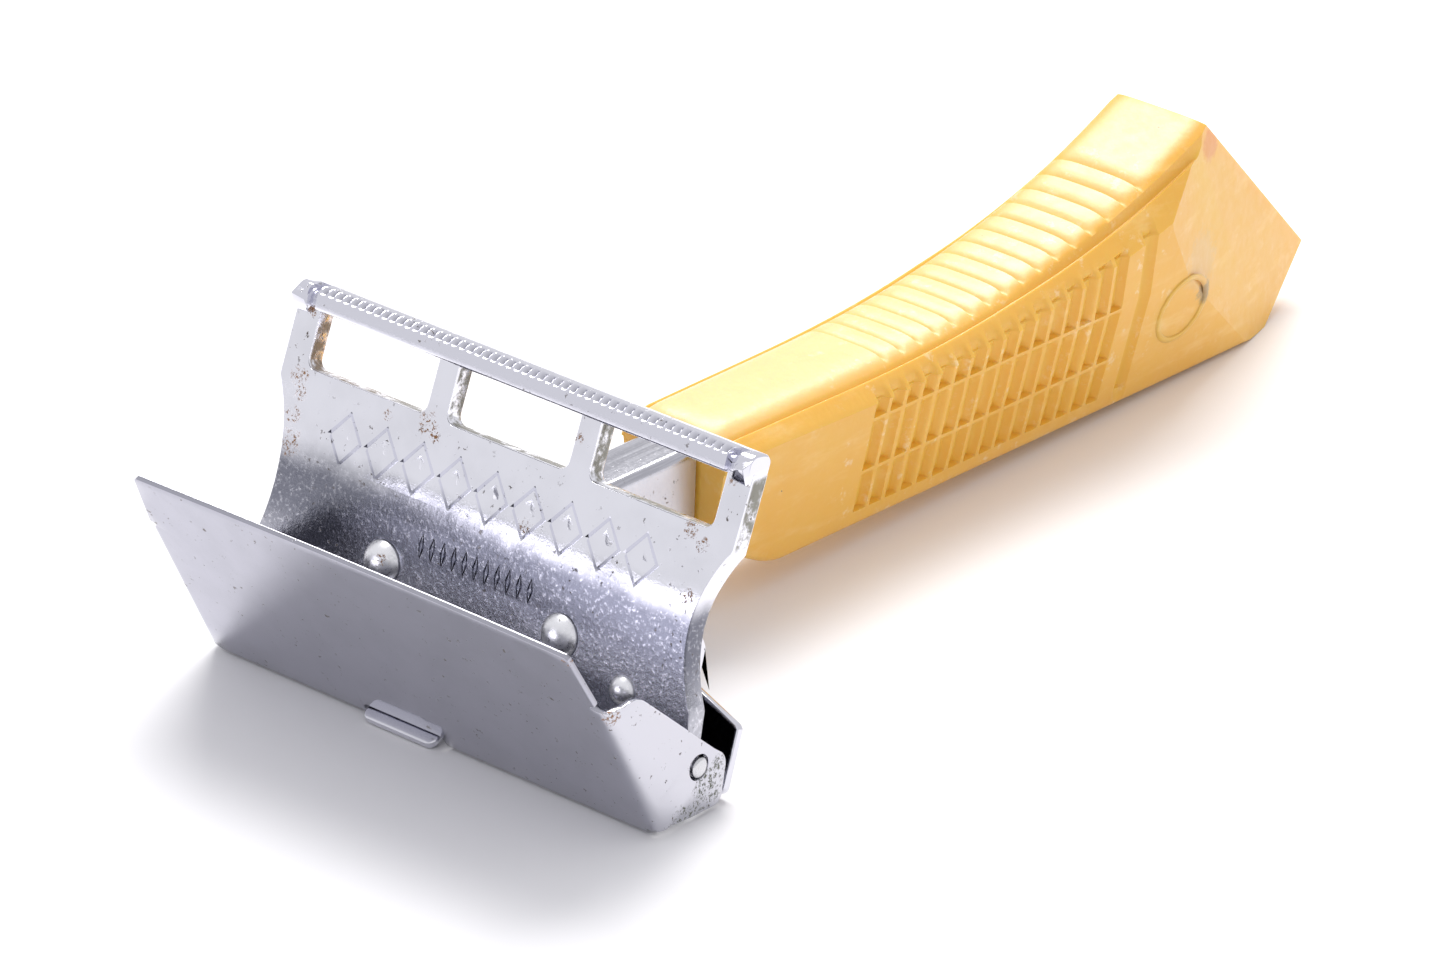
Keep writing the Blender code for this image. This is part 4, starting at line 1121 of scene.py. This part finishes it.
def handle_half(y):
    """The right half of the handle's section at y: (x, z, groove mask), from the crown to below."""
    groove, wall, low_half = widths(y)
    top = handle_top(y)
    front = max(1.0 - (y - HANDLE_FRONT_Y) / 8.5, 0.0)
    low = HANDLE_LOW_Z + 4.8 * front**1.6
    nose = max(1.0 - (y - HANDLE_FRONT_Y) / 0.7, 0.0)
    top -= 0.6 * max(1.0 - (y - HANDLE_FRONT_Y) / 2.0, 0.0) ** 2 + 0.25 * nose**2
    wall -= 0.3 * nose**2
    rib = repeat_depth(y, RIB_START, RIB_PITCH, RIB_COUNT, RIB_SHAPE)
    side_depth = groove_depth(y)
    reach = ramp(y, CELL_REACH)
    points = []
    crown_half = groove - 0.35
    shoulder = SHOULDER_DROP + SHOULDER_TAPER * along_taper(y)
    shoulder += SHOULDER_FALL * max((y - SHOULDER_FALL_Y) / SHOULDER_FALL_LENGTH, 0.0)
    lip = top + LIP_HEIGHT - LIP_FALL * max((y - LIP_FALL_Y) / LIP_FALL_LENGTH, 0.0)
    for share in (0.0, 0.2, 0.4, 0.58, 0.74, 0.86, 0.94, 1.0):
        rise = CROWN - 0.55 * share**6 - 0.12 * share**2
        mask = rib * min(1.0, max(0.0, (0.97 - share) / 0.1))
        points.append((crown_half * share, top + rise - RIB_DEPTH * mask, 0.7 * mask))
    points += [(groove - 0.22, lip + 0.12, 0.5), (groove - 0.06, lip - 0.16, 1.0)]
    points += [(groove + 0.06, lip - 0.18, 1.0), (groove + 0.17, lip - 0.04, 0.5), (groove + 0.3, lip, 0.0)]
    for share in (0.25, 0.5, 0.75):
        sunk = side_depth * min(max((share - reach) / (1.0 - reach), 0.0), 1.0)
        x = groove + 0.3 + (wall - 0.4 - groove) * share - 0.8 * sunk
        z = lip + (top - shoulder + 0.1 - lip) * share
        points.append((x, z - 0.5 * sunk, sunk / CELL_DEPTH))
    sunk = side_depth if reach < 0.9 else 0.0
    points.append((wall - 0.14 - sunk, top - shoulder + 0.12 - 0.2 * sunk, sunk / CELL_DEPTH))
    points.append((wall - 0.05 - sunk, top - shoulder - 0.05, sunk / CELL_DEPTH))
    slope = (wall - low_half) / (HANDLE_TOP_Z - HANDLE_LOW_Z)
    for i, (z, _) in enumerate(cell_heights(y)):
        z = min(z, top - shoulder - 0.1 - 0.04 * i)
        z = max(z, low + 0.9)
        sunk = wall_depth(y, z)
        x = min(low_half + slope * (z - HANDLE_LOW_Z), wall)
        points.append((x - sunk, z, min(1.0, sunk / CELL_DEPTH)))
    foot = low_half + slope * (low + 0.5 - HANDLE_LOW_Z)
    points += [(foot, low + 0.5, 0.0), (foot - 0.1, low + 0.22, 0.0), (foot - 0.32, low + 0.05, 0.0)]
    points += [(foot - 0.65, low, 0.0), (0.0, low, 0.0)]
    return points


def ring_mark(side):
    """A plain raised ring on the side wall."""
    sides, tube = 56, 8
    rings = []
    for i in range(sides):
        turn = 2.0 * math.pi * i / sides
        ring = []
        for j in range(tube):
            around = 2.0 * math.pi * j / tube
            reach = RING_RADIUS + RING_TUBE * math.cos(around)
            y, z = RING_Y + reach * math.cos(turn), RING_Z + reach * math.sin(turn)
            _, wall, low_half = widths(y)
            face = low_half + (wall - low_half) * (z - HANDLE_LOW_Z) / (HANDLE_TOP_Z - HANDLE_LOW_Z)
            ring.append((side * (face + RING_HEIGHT * math.sin(around) * math.cos(RING_LEAN)), y, z))
        rings.append(ring)
    return loft(rings, closed=True)


def handle(look):
    bm = bmesh.new()
    groove = bm.verts.layers.float.new("groove")
    ridge = bm.verts.layers.float.new("ridge")
    rings = []
    for y in handle_rows():
        right = handle_half(y)
        left = [(-x, z, mask) for x, z, mask in reversed(right[1:-1])]
        ring = []
        for x, z, mask in right + left:
            vertex = bm.verts.new((x, y, z))
            vertex[groove] = mask
            vertex[ridge] = 1.0 - mask if RIB_START - 6.0 < y < RIB_START + RIB_PITCH * RIB_COUNT else 0.25
            ring.append(vertex)
        rings.append(ring)
    skin(bm, rings)
    corner = Vector(FACET_CORNER)
    for point, normal in (
        (corner, Vector((0.0, corner.z - TIP_Z, TIP_Y - corner.y))),
        (Vector((0.0, HEEL_Y, HANDLE_LOW_Z)), Vector((0.0, TIP_Z - HANDLE_LOW_Z, HEEL_Y - TIP_Y))),
        (corner, Vector(FACET_NORMAL)),
        (Vector((-corner.x, corner.y, corner.z)), Vector((-FACET_NORMAL[0], *FACET_NORMAL[1:]))),
    ):
        slice_off(bm, point, normal)
    whole = joined([bm, ring_mark(1), ring_mark(-1)])
    obj = piece("handle_skin", whole, look, "handle", sharp=40.0)
    for polygon in obj.data.polygons:
        if polygon.area > FLAT_AREA * MM**2:
            polygon.use_smooth = False


# --- Stage ---


def floor():
    bm = bmesh.new()
    bmesh.ops.create_grid(bm, x_segments=1, y_segments=1, size=3.0)
    obj = raw_object("floor", bm)
    look = Look("floor_look")
    obj.data.materials.append(look.finish((0.92, 0.915, 0.93), 0.55, look.bump(look.noise(0.05), 0.0)))
    look.shader.inputs["Specular IOR Level"].default_value = 0.25


def studio():
    world = bpy.data.worlds.new("studio")
    bpy.context.scene.world = world
    world.use_nodes = True
    sky = world.node_tree.nodes["Background"]
    sky.inputs["Color"].default_value = (*WORLD_COLOUR, 1.0)
    sky.inputs["Strength"].default_value = WORLD_STRENGTH
    data = bpy.data.lights.new("key", "AREA")
    data.size = KEY_SIZE
    data.energy = KEY_POWER
    data.color = KEY_COLOUR
    key = in_scene("key", data)
    key.location = KEY_PLACE
    key.rotation_euler = (Vector(KEY_TARGET) - Vector(KEY_PLACE)).to_track_quat("-Z", "Y").to_euler()


def camera():
    flat = math.cos(ELEVATION)
    back = Vector((math.sin(AZIMUTH) * flat, -math.cos(AZIMUTH) * flat, math.sin(ELEVATION)))
    level = Vector((math.cos(AZIMUTH), math.sin(AZIMUTH), 0.0))
    upright = back.cross(level)
    right = level * math.cos(ROLL) + upright * math.sin(ROLL)
    up = upright * math.cos(ROLL) - level * math.sin(ROLL)
    turn = Matrix((right, up, back)).transposed()
    tilt = Matrix.Rotation(TILT, 3, "X")
    data = bpy.data.cameras.new("camera")
    data.lens = LENS
    data.sensor_width = 36.0
    data.clip_start, data.clip_end = 0.02, 20.0
    obj = in_scene("camera", data)
    place = (tilt @ turn).to_4x4()
    place.translation = PLACE @ (Vector(AIM) + back * CAMERA_DISTANCE)
    obj.matrix_world = place
    bpy.context.scene.camera = obj


def main():
    plate_rust = [((x, *on_plate(down)), radius) for x, down, radius in PLATE_RUST]
    verdigris = [*CAP_VERDIGRIS, ((20.2, *on_cap(0.2, 0.2)), 0.55)]
    plate = chrome("guard_chrome_look", (0.88, 0.88, 0.94), 0.10, 1.3, rust=plate_rust, wear=plate_wear)
    # The cap's inner face is painted dark, standing in for shade.
    faces = {"inner": (0.34, 0.34, 0.38), "ears": (0.60, 0.60, 0.65)}
    # The cap's face is given a dark tone and its ears a lighter one: one sheet painted in shaded and lit
    # tones.
    cap_look = chrome(
        "cap_chrome_look", (0.45, 0.45, 0.51), 0.085, 1.2, rust=CAP_RUST, green=verdigris, **faces
    )
    rivet_look = chrome("rivet_chrome_look", (0.92, 0.92, 0.95), 0.36, 1.0, rust=RIVET_RUST)
    # The spring's broad rear faces are painted near black, as a dark reflection.
    spring_look = chrome("spring_steel_look", (0.72, 0.72, 0.78), 0.14, 0.3, dark_faces=(0.08, 0.08, 0.10))
    pin_look = chrome("pin_steel_look", (0.66, 0.66, 0.68), 0.25, 0.3)
    neck_look = chrome("neck_chrome_look", (0.68, 0.68, 0.73), 0.16, 1.3, streaks=0.6)
    guard_plate(plate)
    cap(cap_look)
    spring_plate(spring_look)
    neck(neck_look)
    handle(yellow_plastic())
    for side in (-1, 1):
        hinge_pin(side, pin_look)
        for kind in (LARGE_RIVET, SMALL_RIVET):
            rivet(kind, side, rivet_look)
    floor()
    studio()
    camera()
    bpy.context.scene.view_settings.view_transform = "Standard"


main()
